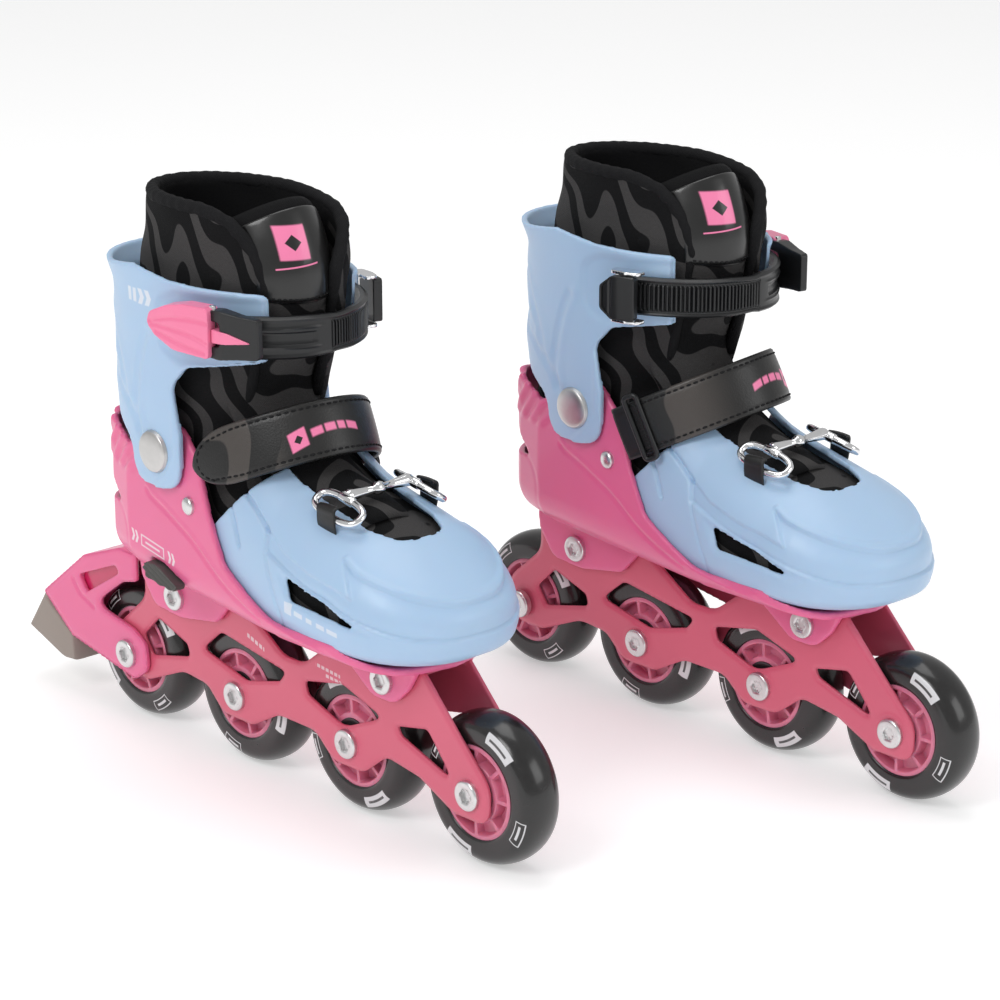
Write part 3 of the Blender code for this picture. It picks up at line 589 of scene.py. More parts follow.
def flow(points, count=8):
    """Smooth line through points, closed or open lists of numbers of any width."""
    pts = [Vector(p) for p in points]
    line = []
    for i in range(len(pts) - 1):
        a, b, c, d = pts[max(i - 1, 0)], pts[i], pts[i + 1], pts[min(i + 2, len(pts) - 1)]
        for k in range(count):
            t = k / count
            line.append(tuple(0.5 * (2 * b + (c - a) * t + (2 * a - 5 * b + 4 * c - d) * t * t
                                     + (3 * b - a - 3 * c + d) * t ** 3)))
    return line + [tuple(pts[-1])]


def prism(outline, low, high):
    """Solid from a side view outline, between two values of Y."""
    count = len(outline)
    verts = [(u, low, v) for u, v in outline] + [(u, high, v) for u, v in outline]
    faces = [list(range(count)), list(range(2 * count - 1, count - 1, -1))]
    faces += [(i, (i + 1) % count, count + (i + 1) % count, count + i) for i in range(count)]
    return new_mesh("prism", verts, faces)


def plan_prism(outline, low, high):
    """Solid from a plan view outline, between two heights."""
    count = len(outline)
    verts = [(u, v, low) for u, v in outline] + [(u, v, high) for u, v in outline]
    faces = [list(range(count)), list(range(2 * count - 1, count - 1, -1))]
    faces += [(i, (i + 1) % count, count + (i + 1) % count, count + i) for i in range(count)]
    return new_mesh("plan", verts, faces)


def loft(rings, name="loft", closed=False):
    """Skin through rings of equal count; ends are capped unless the rings close on themselves."""
    count = len(rings[0])
    verts = [p for ring in rings for p in ring]
    faces = []
    for r in range(len(rings) if closed else len(rings) - 1):
        nxt = (r + 1) % len(rings)
        for i in range(count):
            j = (i + 1) % count
            faces.append((r * count + i, r * count + j, nxt * count + j, nxt * count + i))
    if not closed:
        faces += [list(range(count)), list(range((len(rings) - 1) * count, len(rings) * count))]
    return new_mesh(name, verts, faces)


def turned(profile, steps=64):
    """Solid turned about the Y axis from (radius, y) points; ends on the axis are welded."""
    verts, faces = [], []
    rows = []
    for radius, y in profile:
        if radius < 1e-6:
            rows.append([len(verts)] * steps)
            verts.append((0, y, 0))
            continue
        rows.append(list(range(len(verts), len(verts) + steps)))
        verts += [(radius * math.cos(2 * math.pi * i / steps), y, radius * math.sin(2 * math.pi * i / steps))
                  for i in range(steps)]
    loops = list(zip(rows, rows[1:]))
    if profile[0][0] > 0:
        loops.append((rows[-1], rows[0]))
    for low, high in loops:
        for i in range(steps):
            j = (i + 1) % steps
            face = list(dict.fromkeys((low[i], low[j], high[j], high[i])))
            if len(face) > 2:
                faces.append(face)
    return new_mesh("turned", verts, faces)


def dial(radii, height, steps=144, floor=None):
    """Round body about Y whose face at -Y stands at height(radius, angle); mirrored or flat at its back."""
    verts, faces = [], []
    rows = len(radii)
    front = rows * steps
    for back in (False, True):
        for radius in radii:
            for i in range(steps):
                t = 2 * math.pi * i / steps
                y = height(radius, t) if floor is None or not back else floor
                verts.append((radius * math.cos(t), y if back else -y, radius * math.sin(t)))
    for side in (0, front):
        for r in range(rows - 1):
            for i in range(steps):
                j = (i + 1) % steps
                a = side + r * steps
                faces.append((a + i, a + j, a + steps + j, a + steps + i))
    for a in (0, (rows - 1) * steps):
        for i in range(steps):
            j = (i + 1) % steps
            faces.append((a + i, a + j, front + a + j, front + a + i))
    return new_mesh("dial", verts, faces)


def tube(path, radius, sides=16, closed=False):
    """Round bar along a line; radius is a number or one per point."""
    pts = [Vector(p) for p in path]
    rings = []
    side = None
    for i, p in enumerate(pts):
        back = pts[i - 1] if closed or i else p
        ahead = pts[(i + 1) % len(pts)] if closed or i < len(pts) - 1 else p
        along = (ahead - back).normalized()
        if side is None:
            side = along.orthogonal().normalized()
        side = (side - along * side.dot(along)).normalized()
        over = along.cross(side)
        r = radius[i] if hasattr(radius, "__len__") else radius
        rings.append([p + (side * math.cos(a) + over * math.sin(a)) * r
                      for a in (2 * math.pi * k / sides for k in range(sides))])
    return loft(rings, "tube", closed)


def band(line, width, outer, inner, across=24):
    """Strip along a line of (point, outward, up) frames; outer and inner give heights at (t, v)."""
    rings = []
    for i, (point, outward, up) in enumerate(line):
        t = i / (len(line) - 1)
        half = width(t) / 2 if callable(width) else width / 2
        ring = []
        for k in range(across + 1):
            v = -1 + 2 * k / across
            ring.append(point + up * v * half + outward * outer(t, v))
        for k in range(across, -1, -1):
            v = -1 + 2 * k / across
            ring.append(point + up * v * half + outward * inner(t, v))
        rings.append(ring)
    return loft(rings, "band")


def smooth(low, high, value):
    """Smooth step from 0 at low to 1 at high; low may be the larger."""
    t = np.clip((value - low) / (high - low), 0, 1)
    return t * t * (3 - 2 * t)


def line_distance(u, v, path, closed=False):
    """Distance of points from a drawn line."""
    path = list(path) + ([path[0]] if closed else [])
    best = np.full(u.shape, 1e9)
    for (u0, v0), (u1, v1) in zip(path, path[1:]):
        du, dv = u1 - u0, v1 - v0
        t = np.clip(((u - u0) * du + (v - v0) * dv) / max(du * du + dv * dv, 1e-9), 0, 1)
        best = np.minimum(best, np.hypot(u - u0 - t * du, v - v0 - t * dv))
    return best


def inside(u, v, path):
    """Whether points lie within a closed line."""
    odd = np.zeros(u.shape, bool)
    for (u0, v0), (u1, v1) in zip(path, list(path[1:]) + [path[0]]):
        if v0 == v1:
            continue
        odd ^= ((v0 > v) != (v1 > v)) & (u < (u1 - u0) * (v - v0) / (v1 - v0) + u0)
    return odd


def zone(u, v, path, soft):
    """1 inside a closed line, 0 outside, smooth over its edge."""
    away = line_distance(u, v, path, True)
    return smooth(-soft, soft, np.where(inside(u, v, path), away, -away))


def groove(u, v, path, width):
    """1 on a drawn line, 0 a width away."""
    return 1 - smooth(0, width, line_distance(u, v, path))


# ---------------------------------------------------------------- placing

def axle_floor(side):
    """Point on the floor under a skate's rear axle, in metres."""
    low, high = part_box(f"{side}_wheel_1")
    return Vector(((low.x + high.x) / 2, (low.y + high.y) / 2, 0))


def finish_piece(obj, name, body, slot, paint, replaces=(), sides=SIDES, sharp=None, flip=True,
                 blend=None, padded=None, home=Matrix()):
    """Copy a bench piece to each skate, give it its finish, hide the imported parts it replaces and parent it
    to its body's empty, or with blend leave it unparented.

    The place marks are kept before the piece goes home, so a wheel's marks turn with it.
    """
    paints = finishes(bpy.context)
    for side in sides:
        mesh = obj.data.copy()
        places = np.empty(len(mesh.vertices) * 3)
        mesh.vertices.foreach_get("co", places)
        marks = mesh.attributes.new("place", "FLOAT_VECTOR", "POINT")
        marks.data.foreach_set("vector", places.astype(np.float32))
        mirror = -1 if side == "left" and flip else 1
        floor = axle_floor(side)
        mesh.transform(Matrix.Translation(floor) @ Matrix.Diagonal((MM, mirror * MM, MM, 1)) @ home)
        if mirror < 0:
            mesh.flip_normals()
        mesh.shade_smooth()
        if sharp:
            mesh.set_sharp_from_angle(angle=math.radians(sharp))
        mesh.materials.clear()
        mesh.materials.append(paints[paint])
        piece = bpy.data.objects.new(f"{side}_{name}", mesh)
        bpy.context.scene.collection.objects.link(piece)
        if blend:
            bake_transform(piece)
        else:
            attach(piece, f"{side}_{body}")
        if replaces:
            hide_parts(*(f"{side}_{node}" for node in replaces))
    discard(obj)


# ---------------------------------------------------------------- foot and leg forms

# x, half width, sole and top heights along the foot; z, back, front and half width up the leg
FOOT_ROWS = ((-4, 35.5, 88, 205), (30, 36.2, 88, 205), (65, 38.5, 88, 203), (100, 41.0, 88, 185),
             (140, 44.8, 88, 160), (175, 46.8, 88, 148), (200, 46.5, 88, 141), (222, 45.0, 88, 133),
             (241, 43.0, 88, 125))
HEEL_TIP, HEEL_ROUND = 1.5, 38.0
TOE_TIP, TOE_ROUND = 239.0, 186.0
WIDEST_Z = 109.0
CUFF_ROWS = ((138, 6, 134, 46), (165, 4, 135, 46), (190, 3, 135, 46), (220, 3, 136, 46), (250, 1, 138, 47))
COLLAR_ROWS = ((146, 9, 110, 34.2), (170, 8, 114, 34.4), (190, 9, 120, 37.5), (215, 12, 127, 38),
               (245, 18, 132, 35.5), (280, 25, 129, 34.5))
LEG_POWER = 2 / 2.1
FOOT_SIDES, LEG_SIDES = 72, 96


def table(rows, at):
    """Smooth value of each column of a table at a position in its first column."""
    index = min(max(i for i in range(len(rows)) if rows[i][0] <= at or i == 0), len(rows) - 2)
    x0, x1 = rows[index][0], rows[index + 1][0]
    t = (at - x0) / (x1 - x0)
    before, after = rows[max(index - 1, 0)], rows[min(index + 2, len(rows) - 1)]
    values = []
    for c in range(1, len(rows[0])):
        y0, y1 = rows[index][c], rows[index + 1][c]
        s0 = (y1 - before[c]) / (x1 - before[0]) * (x1 - x0)
        s1 = (after[c] - y0) / (after[0] - x0) * (x1 - x0)
        values.append((2 * t ** 3 - 3 * t * t + 1) * y0 + (t ** 3 - 2 * t * t + t) * s0
                      + (3 * t * t - 2 * t ** 3) * y1 + (t ** 3 - t * t) * s1)
    return values


def power(value, exponent):
    """Power that keeps the sign."""
    return math.copysign(abs(value) ** exponent, value)


def foot_ring(x, grow, tuck):
    """Section of the foot at x: squarer over the toes, tucked in under the heel and the toe."""
    heel_tip, toe_tip = HEEL_TIP - grow, TOE_TIP + grow
    half, low, high = table(FOOT_ROWS, min(max(x, HEEL_TIP), TOE_TIP))
    half, low, high = half + grow, low - grow, high + grow
    if x < HEEL_ROUND:
        fade = max(1 - ((HEEL_ROUND - x) / (HEEL_ROUND - heel_tip)) ** 2.1, 0) ** (1 / 2.1)
        half *= fade
        low += (WIDEST_Z - low) * 0.55 * (1 - fade)
    elif x > TOE_ROUND:
        fade = max(1 - ((x - TOE_ROUND) / (toe_tip - TOE_ROUND)) ** 2.3, 0) ** (1 / 2.3)
        half *= fade
        low += (WIDEST_Z - low) * tuck * (1 - fade)
        high += (WIDEST_Z - high) * 0.9 * (1 - fade)
    flat = min(max((x - 40) / 100, 0), 1)
    points = []
    for index in range(FOOT_SIDES):
        angle = 2 * math.pi * (index + 0.5) / FOOT_SIDES
        across, up = math.cos(angle), math.sin(angle)
        exponent, height = (2 / (3.6 - 1.3 * flat), high - WIDEST_Z) if up > 0 else \
            (2 / (2.1 + 1.3 * flat), WIDEST_Z - low)
        points.append((x, half * power(across, exponent), WIDEST_Z + height * power(up, exponent)))
    return points


def foot_form(grow, tuck=0.9):
    """Closed form of the foot, grown outward; tuck lifts the sole towards the toe's tip."""
    heel, toe = HEEL_TIP - grow, TOE_TIP + grow
    stations = [heel + d for d in (0.05, 0.5, 1.5, 3, 5.5, 9, 13.5, 18)] + list(range(35, 182, 7))
    stations += [toe - d for d in (46, 38, 31, 25, 19.5, 14.5, 10, 6.5, 3.8, 1.8, 0.6, 0.05)]
    return loft([foot_ring(x, grow, tuck) for x in stations], "foot")


def leg_point(z, angle, grow, rows=COLLAR_ROWS):
    """Point of the leg form at a height and an angle from its front."""
    back, front, half = table(rows, min(max(z, rows[0][0]), rows[-1][0]))
    reach = (front - back) / 2 + grow
    across = (half + grow) * power(math.sin(angle), LEG_POWER)
    return Vector(((back + front) / 2 + reach * power(math.cos(angle), LEG_POWER), across, z))


def leg_form(rows, grow):
    """Closed form of the ankle and leg, grown outward."""
    heights = np.linspace(rows[0][0], rows[-1][0], 18)
    return loft([[leg_point(z, 2 * math.pi * (i + 0.5) / LEG_SIDES, grow, rows) for i in range(LEG_SIDES)]
                 for z in heights], "leg")


def outward_of_foot(p, n):
    """1 on outer faces of a shell round the foot, 0 on inner ones."""
    spine = np.stack([np.clip(p[:, 0], 45, 180), np.zeros(len(p)), np.full(len(p), WIDEST_Z + 8)], 1)
    away = p - spine
    away /= np.linalg.norm(away, axis=1)[:, None] + 1e-9
    return smooth(0.05, 0.45, (away * n).sum(1))


# ---------------------------------------------------------------- shells

TOE_UPPER = [(137.3, 138.6), (151.4, 130.9), (170.5, 126), (188.9, 123.3), (199.1, 120.6)]
TOE_FRONT = [(186.8, 133.9), (195.1, 130.7), (210, 126.7), (222.8, 122.9), (232.6, 119.7), (250, 118)]
TOE_LOWER = [(250, 105.5), (236.5, 105.5), (227.2, 106.4), (217.5, 108.5), (203.1, 112.0), (191.6, 115.1),
             (166.9, 120.4), (152.3, 124.7), (140.3, 128.8)]
TOE_REAR = [(137.3, 138.6), (140.3, 128.8), (146, 116.9), (153.2, 102), (155, 90)]
VENT = [(155.5, 120.6), (160.0, 110.6), (188, 109.4), (208, 106.8), (184, 115.2)]
VENT_DISH = [(151.5, 122.0), (159.5, 108.8), (186, 108.8), (210, 107.3), (184, 118.4)]
SLITS = ([(118.5, 150.5), (127, 145.5), (134, 140.6), (138.5, 137.5)],
         [(111.6, 143.5), (116.5, 136), (119.6, 130), (121.4, 126.3)])


def toe_shell(sizes):
    """Toe cap open over the instep, with its vents, slits and zigzag relief."""
    throat = [(70, -24, 0), (70, 24, 0), (120, 20.5, 12), (183, 18.5, 15), (199, 12, 10), (199, -12, 10),
              (183, -18.5, 15), (120, -20.5, 12)]
    side = [(88, 80, 0), (88, 112, 8), (101, 131, 8), (136, 166, 3), (150, 178, 0), (262, 178, 0), (262, 80, 0)]
    shell = shaped(foot_form(0, tuck=0.6), ("&", prism(rounded(side), -80, 80)),
                   ("-", plan_prism(rounded(throat), 125, 220)), ("-", foot_form(-2.8, tuck=0.6)),
                   ("-", prism(VENT, -80, 80)))
    moulded(shell, sizes.shell_grain)
    channel = TOE_UPPER + [(193.8, 127.6)] + TOE_FRONT + TOE_LOWER

    def rise(p, n):
        x, z = p[:, 0], p[:, 2]
        lift = -1.3 * zone(x, z, channel, 0.5)
        lift += 0.7 * groove(x, z, [(a, b + 1.0) for a, b in TOE_FRONT], 1.5)
        lift -= 0.7 * groove(x, z, TOE_REAR, 1.4)
        lift -= 0.5 * groove(x, z, TOE_LOWER, 1.2)
        lift -= 1.0 * zone(x, z, VENT_DISH, 2.4)
        for slit in SLITS:
            lift -= 1.9 * groove(x, z, slit, 1.5)
        lift += 0.5 * smooth(99.5, 96.5, z) * (x > 120)
        return lift * outward_of_foot(p, n) * smooth(14, 20, np.abs(p[:, 1]) + 30 * (x > 205))

    return sculpt(shell, rise)


LOBES = ([(13, 88.5, 0), (14, 80, 5), (24, 66.5, 9), (44, 65, 12), (72, 70, 8), (88, 87.6, 0)],
         [(152, 87.3, 0), (168, 76, 10), (183, 65.5, 10), (198, 65.5, 10), (207, 74, 8), (215, 87.3, 0)])
HEEL_SIDE = [(-14, 84, 0), (-14, 161, 0), (12, 163, 6), (34, 156, 10), (53, 158, 6), (58, 171, 6), (76, 171, 8),
             (91, 158, 10), (101, 136, 12), (113, 115, 16), (146, 99, 24), (184, 93, 12), (190, 88, 0),
             (190, 84, 0)]
BUTTON = [(51, 99, 2), (54, 102.5, 2), (64, 102, 2), (76.5, 95.5, 2), (75, 92.5, 2), (62, 93.5, 2), (54, 95, 2)]


def toe_tray():
    """Dished floor under the toe shell, which slides along it."""
    across = [-45.2 + 90.4 * k / 48 for k in range(49)]
    level = [WIDEST_Z - 21 * max(1 - (abs(y) / 46.4) ** 3.4, 0) ** (1 / 3.4) for y in across]
    section = [(y, z - 0.5) for y, z in zip(across, level)] + \
        [(y * 1.03, max(z - 3.9, 84.1)) for y, z in reversed(list(zip(across, level)))]
    body = loft([[(x, y, z) for y, z in section] for x in (148, 231)], "tray")
    plan = [(140, -50, 0), (140, 50, 0), (184, 47, 10), (204, 39.5, 16), (214, 27, 14), (220, 0, 14),
            (214, -27, 14), (204, -39.5, 16), (184, -47, 10)]
    return shaped(body, ("&", plan_prism(rounded(plan), 70, 98.5)))


def heel_shell(sizes):
    """Heel cup with its windows, ribbed wings, lobes for the frame bolts and the toe's tray."""
    window = [(-20, 139.5, 0), (-20, 120, 0), (27, 124, 2), (6, 138.5, 3)]
    slot = [(64 + (x - 64) * 1.07, 97 + (z - 97) * 1.2, r) for x, z, r in BUTTON]
    steps = [("&", prism(rounded(HEEL_SIDE), -80, 80)), ("-", foot_form(0.4)),
             ("-", prism(rounded(window), -80, 80)), ("-", prism(rounded(slot), -48, -36))]
    for low, high in ((-18.4, -15.1), (15.1, 18.4)):
        steps += [("+", prism(rounded(lobe), low, high)) for lobe in LOBES]
    steps.append(("+", toe_tray()))
    shell = shaped(foot_form(3.6), *steps)
    moulded(shell, sizes.shell_grain)
    crease = flow([(52, 136.5), (56, 133.7), (66.6, 130), (78.8, 124.9), (90.9, 119.4), (112, 107),
                   (140, 96.5)])
    panel = flow([(8, 137), (16, 128), (30, 119), (34, 108), (30, 96)])

    def rise(p, n):
        x, y, z = p.T
        lift = -0.7 * groove(x, z, crease, 2.2) + 0.35 * groove(x, z, [(a, b + 2.4) for a, b in crease], 2.4)
        fan = np.hypot(x - 75, z - 108)
        wing = smooth(141, 145, z) * smooth(50, 36, x)
        lift += 0.85 * np.sin(fan * 2 * math.pi / 7.2) * wing
        lift -= 0.25 * groove(x, z, panel, 2.5)
        return lift * outward_of_foot(p, n) * smooth(3, 9, np.abs(y) + 30 * (x < 12))

    return sculpt(shell, rise)


CUFF_SIDE = [(-14, 171, 0), (-14, 240.5, 0), (24, 240.5, 12), (52, 245, 10), (80, 241.5, 12), (125, 240, 4),
             (125, 208.5, 5), (88, 202.5, 8), (78.5, 192, 8), (83, 170, 8), (83, 142, 16), (48, 142, 16),
             (43, 160, 10), (18, 170, 8)]


def cuff(sizes):
    """Hinged cuff with a dish for the buckle, folds behind the ankle and a flared back edge."""
    bore = leg_form([(CUFF_ROWS[0][0] - 1, *CUFF_ROWS[0][1:])] + list(CUFF_ROWS[1:-1])
                    + [(CUFF_ROWS[-1][0] + 1, *CUFF_ROWS[-1][1:])], -3.0)
    arm = prism([(117, 200), (117, 250), (140, 250), (140, 200)], 5, 60)
    shell = shaped(leg_form(CUFF_ROWS, 0), ("-", bore), ("&", prism(rounded(CUFF_SIDE), -80, 80)), ("-", arm))
    moulded(shell, sizes.shell_grain)
    dish = rounded([(71, 232, 10), (72, 210, 8), (84, 204.5, 6), (150, 206, 0), (150, 237, 0), (84, 237, 8)])
    folds = (flow([(62, 214), (57.7, 205.8), (53.4, 192.4), (51.3, 179), (53, 166)]),
             flow([(20, 188), (28.3, 185.2), (37.3, 180.2), (46.6, 174.6), (52, 168)]),
             flow([(10, 222), (22, 210), (34, 196), (42, 180)]),
             flow([(6, 205), (18, 196), (30, 190)]))

    def rise(p, n):
        x, y, z = p.T
        out = smooth(0.1, 0.5, ((x - 68) * n[:, 0] + y * n[:, 1]) / (np.hypot(x - 68, y) + 1e-9))
        lift = -1.15 * zone(x, z, dish, 2.2)
        for fold, deep in zip(folds, (0.8, 0.9, 0.6, 0.6)):
            lift -= deep * groove(x, z, fold, 4.5)
            lift += 0.5 * deep * groove(x, z, [(a + 4.5, b + 3.0) for a, b in fold], 5.0)
        lift += 0.5 * groove(x, z, [(66, 142), (74, 150), (80, 160), (80, 186)], 3)
        return lift * out * smooth(20, 26, np.abs(y))

    sculpt(shell, rise)
    places, _ = arrays(shell)
    x, y, z = places.T
    away = np.hypot(x - 68, y)
    push = 2.4 * smooth(230, 243, z) * smooth(62, 15, x)
    push += 0.9 * np.sin((z - 176) * 2 * math.pi / 30) * smooth(28, 6, x)
    places[:, 0] += push * (x - 68) / away
    places[:, 1] += push * y / away
    shell.data.vertices.foreach_set("co", places.ravel())
    shell.data.update()
    return shell


class SKATE_OT_shells(bpy.types.Operator):
    """Mould the toe shell, heel shell and cuff of both skates"""
    bl_idname = "skate.shells"
    bl_label = "Shells"

    def execute(self, context):
        sizes = context.scene.skate_sizes
        finish_piece(toe_shell(sizes), "toe_shell_skin", "toe", "blue_shell", "toe_blue", ["toe_shell"])
        finish_piece(heel_shell(sizes), "heel_shell_skin", "chassis", "pink_shell", "pink", ["heel_shell"])
        finish_piece(cuff(sizes), "cuff_skin", "cuff_and_tongue", "blue_shell", "blue", ["cuff"])
        return {"FINISHED"}


# ---------------------------------------------------------------- frame

FRAME_SIDE = [
    (11, 83.6, 2), (11, 66, 12), (-11, 47, 10), (-11.5, 24, 11), (12, 23.5, 12), (40, 35.5, 18),
    (58, 34, 10), (70, 23, 12), (92, 23, 12), (112, 34, 14), (138, 34, 12), (151, 23, 12), (172, 23.5, 12),
    (188, 36, 10), (210, 33, 12), (232, 23, 12), (255, 23, 12), (255.5, 41, 14), (213.5, 83.6, 3),
    (155, 83.6, 3), (131, 65, 16), (116, 64.5, 16), (86, 83.6, 3),
]
FRAME_HOLES = (
    [(21, 58, 3), (8.5, 46, 2.5), (15, 37, 3), (45.5, 44.5, 3), (43.5, 50.5, 3)],
    [(55, 51.5, 2.5), (70, 64, 8), (118, 57, 2.5), (113, 51, 3), (88, 44, 14)],
    [(131, 56.5, 2.5), (133, 50, 3), (158, 41.5, 16), (186, 54, 2.5), (158, 62.5, 8)],
    [(195, 53, 2.5), (197.5, 49, 3), (232.5, 37.5, 2.5), (215.5, 57.5, 4)],
)
MOUNT_X, MOUNT_Z = (41, 191), 75.2


def skate_frame(sizes):
    """Two cut plates and their saddles, with softened edges and a raised boss at each axle."""
    outline, holes = rounded(FRAME_SIDE), [rounded(hole) for hole in FRAME_HOLES]
    plates = []
    for low, high in ((-14.8, -12.2), (12.2, 14.8)):
        plate = prism(outline, low, high)
        cuts = [("-", prism(hole, low - 1, high + 1)) for hole in holes]
        plates.append(shaped(plate, *cuts))
    saddles = [prism([(a, 81), (b, 81), (b, 83.5), (a, 83.5)], -14.3, 14.3) for a, b in ((14, 84), (157, 212))]
    body = shaped(plates[0], ("+", plates[1]), ("+", saddles[0]), ("+", saddles[1]))
    moulded(body, sizes.frame_grain, 3)

    def rise(p, n):
        x, y, z = p.T
        face = smooth(0.3, 0.8, n[:, 1] * np.sign(y)) * (np.abs(y) > 13.6)
        edge = line_distance(x, z, outline, True)
        for hole in holes:
            edge = np.minimum(edge, line_distance(x, z, hole, True))
        soft = np.clip(1 - edge / 3.2, 0, 1)
        boss = np.zeros(len(x))
        for index in range(4):
            boss = np.maximum(boss, 1 - smooth(8.4, 10.4, np.hypot(x - index * AXLE_PITCH, z - AXLE_Z)))
        return face * (boss * 0.25 - 0.85 * soft ** 2.2)

    return sculpt(body, rise)


def socket_head(radius, seat, top, socket=3.0, deep=1.9):
    """Round screw head at -Y with a rolled edge and a hexagon socket."""
    def height(r, t):
        flat = socket / math.cos((t % (math.pi / 3)) - math.pi / 6)
        if r < flat * 0.97:
            return top - deep
        if r < flat * 1.05:
            return top - deep + deep * min((r / flat - 0.97) / 0.08, 1)
        if r < flat + 0.9:
            return top - 0.35 * (1 - (r - flat * 1.05) / 0.9)
        edge = max(r - (radius - 1.1), 0) / 1.1
        return top - (1 - math.sqrt(max(1 - edge * edge, 0))) * 1.1 - max(r - flat - 2.2, 0) * 0.05
    radii = [0.05, 1, 2, 2.6] + [2.7 + 0.1 * i for i in range(14)] + [4.4, 4.8, 5.2]
    radii += [radius - d for d in (1.4, 1.1, 0.8, 0.55, 0.35, 0.2, 0.1, 0.03, 0)]
    radii = sorted(r for r in set(radii) if r <= radius)
    return dial(radii, height, 96, floor=-seat)


class SKATE_OT_frames(bpy.types.Operator):
    """Mould the frames and set their bolts"""
    bl_idname = "skate.frames"
    bl_label = "Frames and bolts"

    def execute(self, context):
        finish_piece(skate_frame(context.scene.skate_sizes), "frame_skin", "chassis", "coral_frame", "coral",
                     ["frame"])
        for number in range(1, 5):
            seat = 18.3 if number == 1 else 15.1
            bolt = transformed(screw(7.0, seat, 3.9), shift((number - 1) * AXLE_PITCH, 0, AXLE_Z))
            finish_piece(bolt, f"axle_bolt_{number}_screw", bolt_body(number), "zinc_fasteners", "zinc",
                         [f"axle_bolt_{number}"], sharp=40)
        for end, x in zip(("rear", "front"), MOUNT_X):
            bolt = transformed(screw(6.6, 18.7, 3.2), shift(x, 0, MOUNT_Z))
            finish_piece(bolt, f"mount_bolt_{end}_screw", "chassis", "zinc_fasteners", "zinc",
                         [f"mount_bolt_{end}"], sharp=40)
        return {"FINISHED"}


def screw(radius, seat, shank):
    """Through bolt: socketed head at -Y, nut with a shallower socket at +Y, shank between."""
    low, top = seat - 1.4, seat + 2.3
    head = socket_head(radius, low, top)
    nut = transformed(socket_head(radius, low, top, 2.6, 1.2), turn("Z", 180))
    return merged(head, nut, turned([(0, seat), (shank, seat), (shank, -seat), (0, -seat)], 32))


def bolt_body(number):
    """The body that an axle bolt's solid rides on, without its side."""
    for body, members in frame["record"]["behaviour"]["bodies"].items():
        if f"right_axle_bolt_{number}" in members:
            return body.removeprefix("right_")
    raise RuntimeError("no body holds that bolt")


# ---------------------------------------------------------------- wheels

def tyre(crown):
    """Solid of revolution from the core's lip over the crown and back."""
    profile = [(21.6, 8.0), (21.7, 10.2), (22.4, 10.9), (24, 11.0), (26.5, 11.0)]
    for k in range(1, 18):
        t = math.radians(90 - 5 * k)
        profile.append((26.5 + (crown - 26.5) * math.cos(t) ** 0.72, 11.0 * math.sin(t)))
    profile.append((crown, 0.0))
    profile += [(r, -y) for r, y in reversed(profile[:-1])]
    return turned(profile, 128)


def hub():
    """Core with eight spokes; every second pocket is deeper."""
    def height(r, t):
        sector = (t / (math.pi / 4)) % 1
        wide = abs(sector - 0.5) * (math.pi / 4) * r
        half = (math.pi / 8) * r - 1.25
        reach = min(r - 13.9, 19.3 - r, half - wide)
        deep = 5.2 if int(t / (math.pi / 4)) % 2 else 3.6
        lip = 10.7 - 0.5 * max(0, (r - 20.6)) - 0.25 * math.cos((r - 17) * 0.5)
        wall = min(max(reach / 0.9 + 0.5, 0), 1)
        wall = wall * wall * (3 - 2 * wall)
        return lip - deep * wall
    radii = [11.1, 11.4, 11.8] + [12.2 + 0.35 * i for i in range(29)]
    return dial([r for r in radii if r < 22.2], height, 256)


def shield(y_side):
    """Bearing face: bore ring, pressed shield with two beads, outer ring."""
    profile = [(4.2, 11.4), (5.8, 11.6), (6.1, 11.2), (6.9, 11.35), (8.4, 11.1), (9.3, 11.3), (9.6, 11.6),
               (11.0, 11.5), (11.0, 4.6), (4.2, 4.6)]
    ring = turned(profile, 72)
    return ring if y_side > 0 else transformed(ring, ACROSS)


class SKATE_OT_wheels(bpy.types.Operator):
    """Turn the tyres, hubs and bearings"""
    bl_idname = "skate.wheels"
    bl_label = "Wheels"

    def execute(self, context):
        crown = context.scene.skate_sizes.wheel_crown
        for number in range(1, 5):
            body = f"wheel_set_{number}"
            home = shift((number - 1) * AXLE_PITCH, 0, AXLE_Z) @ turn("Y", number * 52 - 208)
            look = {"sharp": 50, "home": home}
            finish_piece(tyre(crown), f"tyre_{number}", body, "black_urethane", "tyre", [f"wheel_{number}"],
                         **look)
            finish_piece(hub(), f"hub_{number}", body, "pink_shell", "hub", **look)
            spacer = turned([(4.2, 5), (6, 5), (6, -5), (4.2, -5)], 32)
            finish_piece(merged(shield(1), shield(-1), spacer), f"bearing_pair_{number}", body, "bearing_steel",
                         "shield", [f"bearings_{number}"], **look)
        return {"FINISHED"}


# ---------------------------------------------------------------- liner and tongue

FLAP_LATERAL, FLAP_MEDIAL = math.radians(-38), math.radians(17)


def rim_height(angle):
    """Height of the liner's edge by angle from the front."""
    near = (angle - FLAP_LATERAL) if angle < 0 else (angle - FLAP_MEDIAL)
    away = math.degrees(abs(near))
    corner = 1 - math.exp(-away / (13 if angle < 0 else 24))
    low = 241 if angle < 0 else 246
    top = 272.5 - 0.6 * math.sin(angle)
    return low + (top - low) * min(corner * 1.04, 1)


def flap_angles(count):
    """Angles round the back, from the outer flap's edge to the inner flap's."""
    first, last = FLAP_LATERAL, FLAP_MEDIAL - 2 * math.pi
    return [first + (last - first) * i / (count - 1) for i in range(count)]


def wrap_angle(angle):
    """The same angle, counted from the outer flap round the back."""
    return angle + 2 * math.pi if angle < -math.pi else angle


def liner_grow(angle, z):
    """The inner flap swells beyond the leg form towards the front; both lean a little out at the top."""
    angle = wrap_angle(angle)
    bulge = 3.6 * math.exp(-((math.degrees(angle) - 42) / 30) ** 2)
    return -0.4 + bulge * min(max((z - 205) / 40, 0), 1)


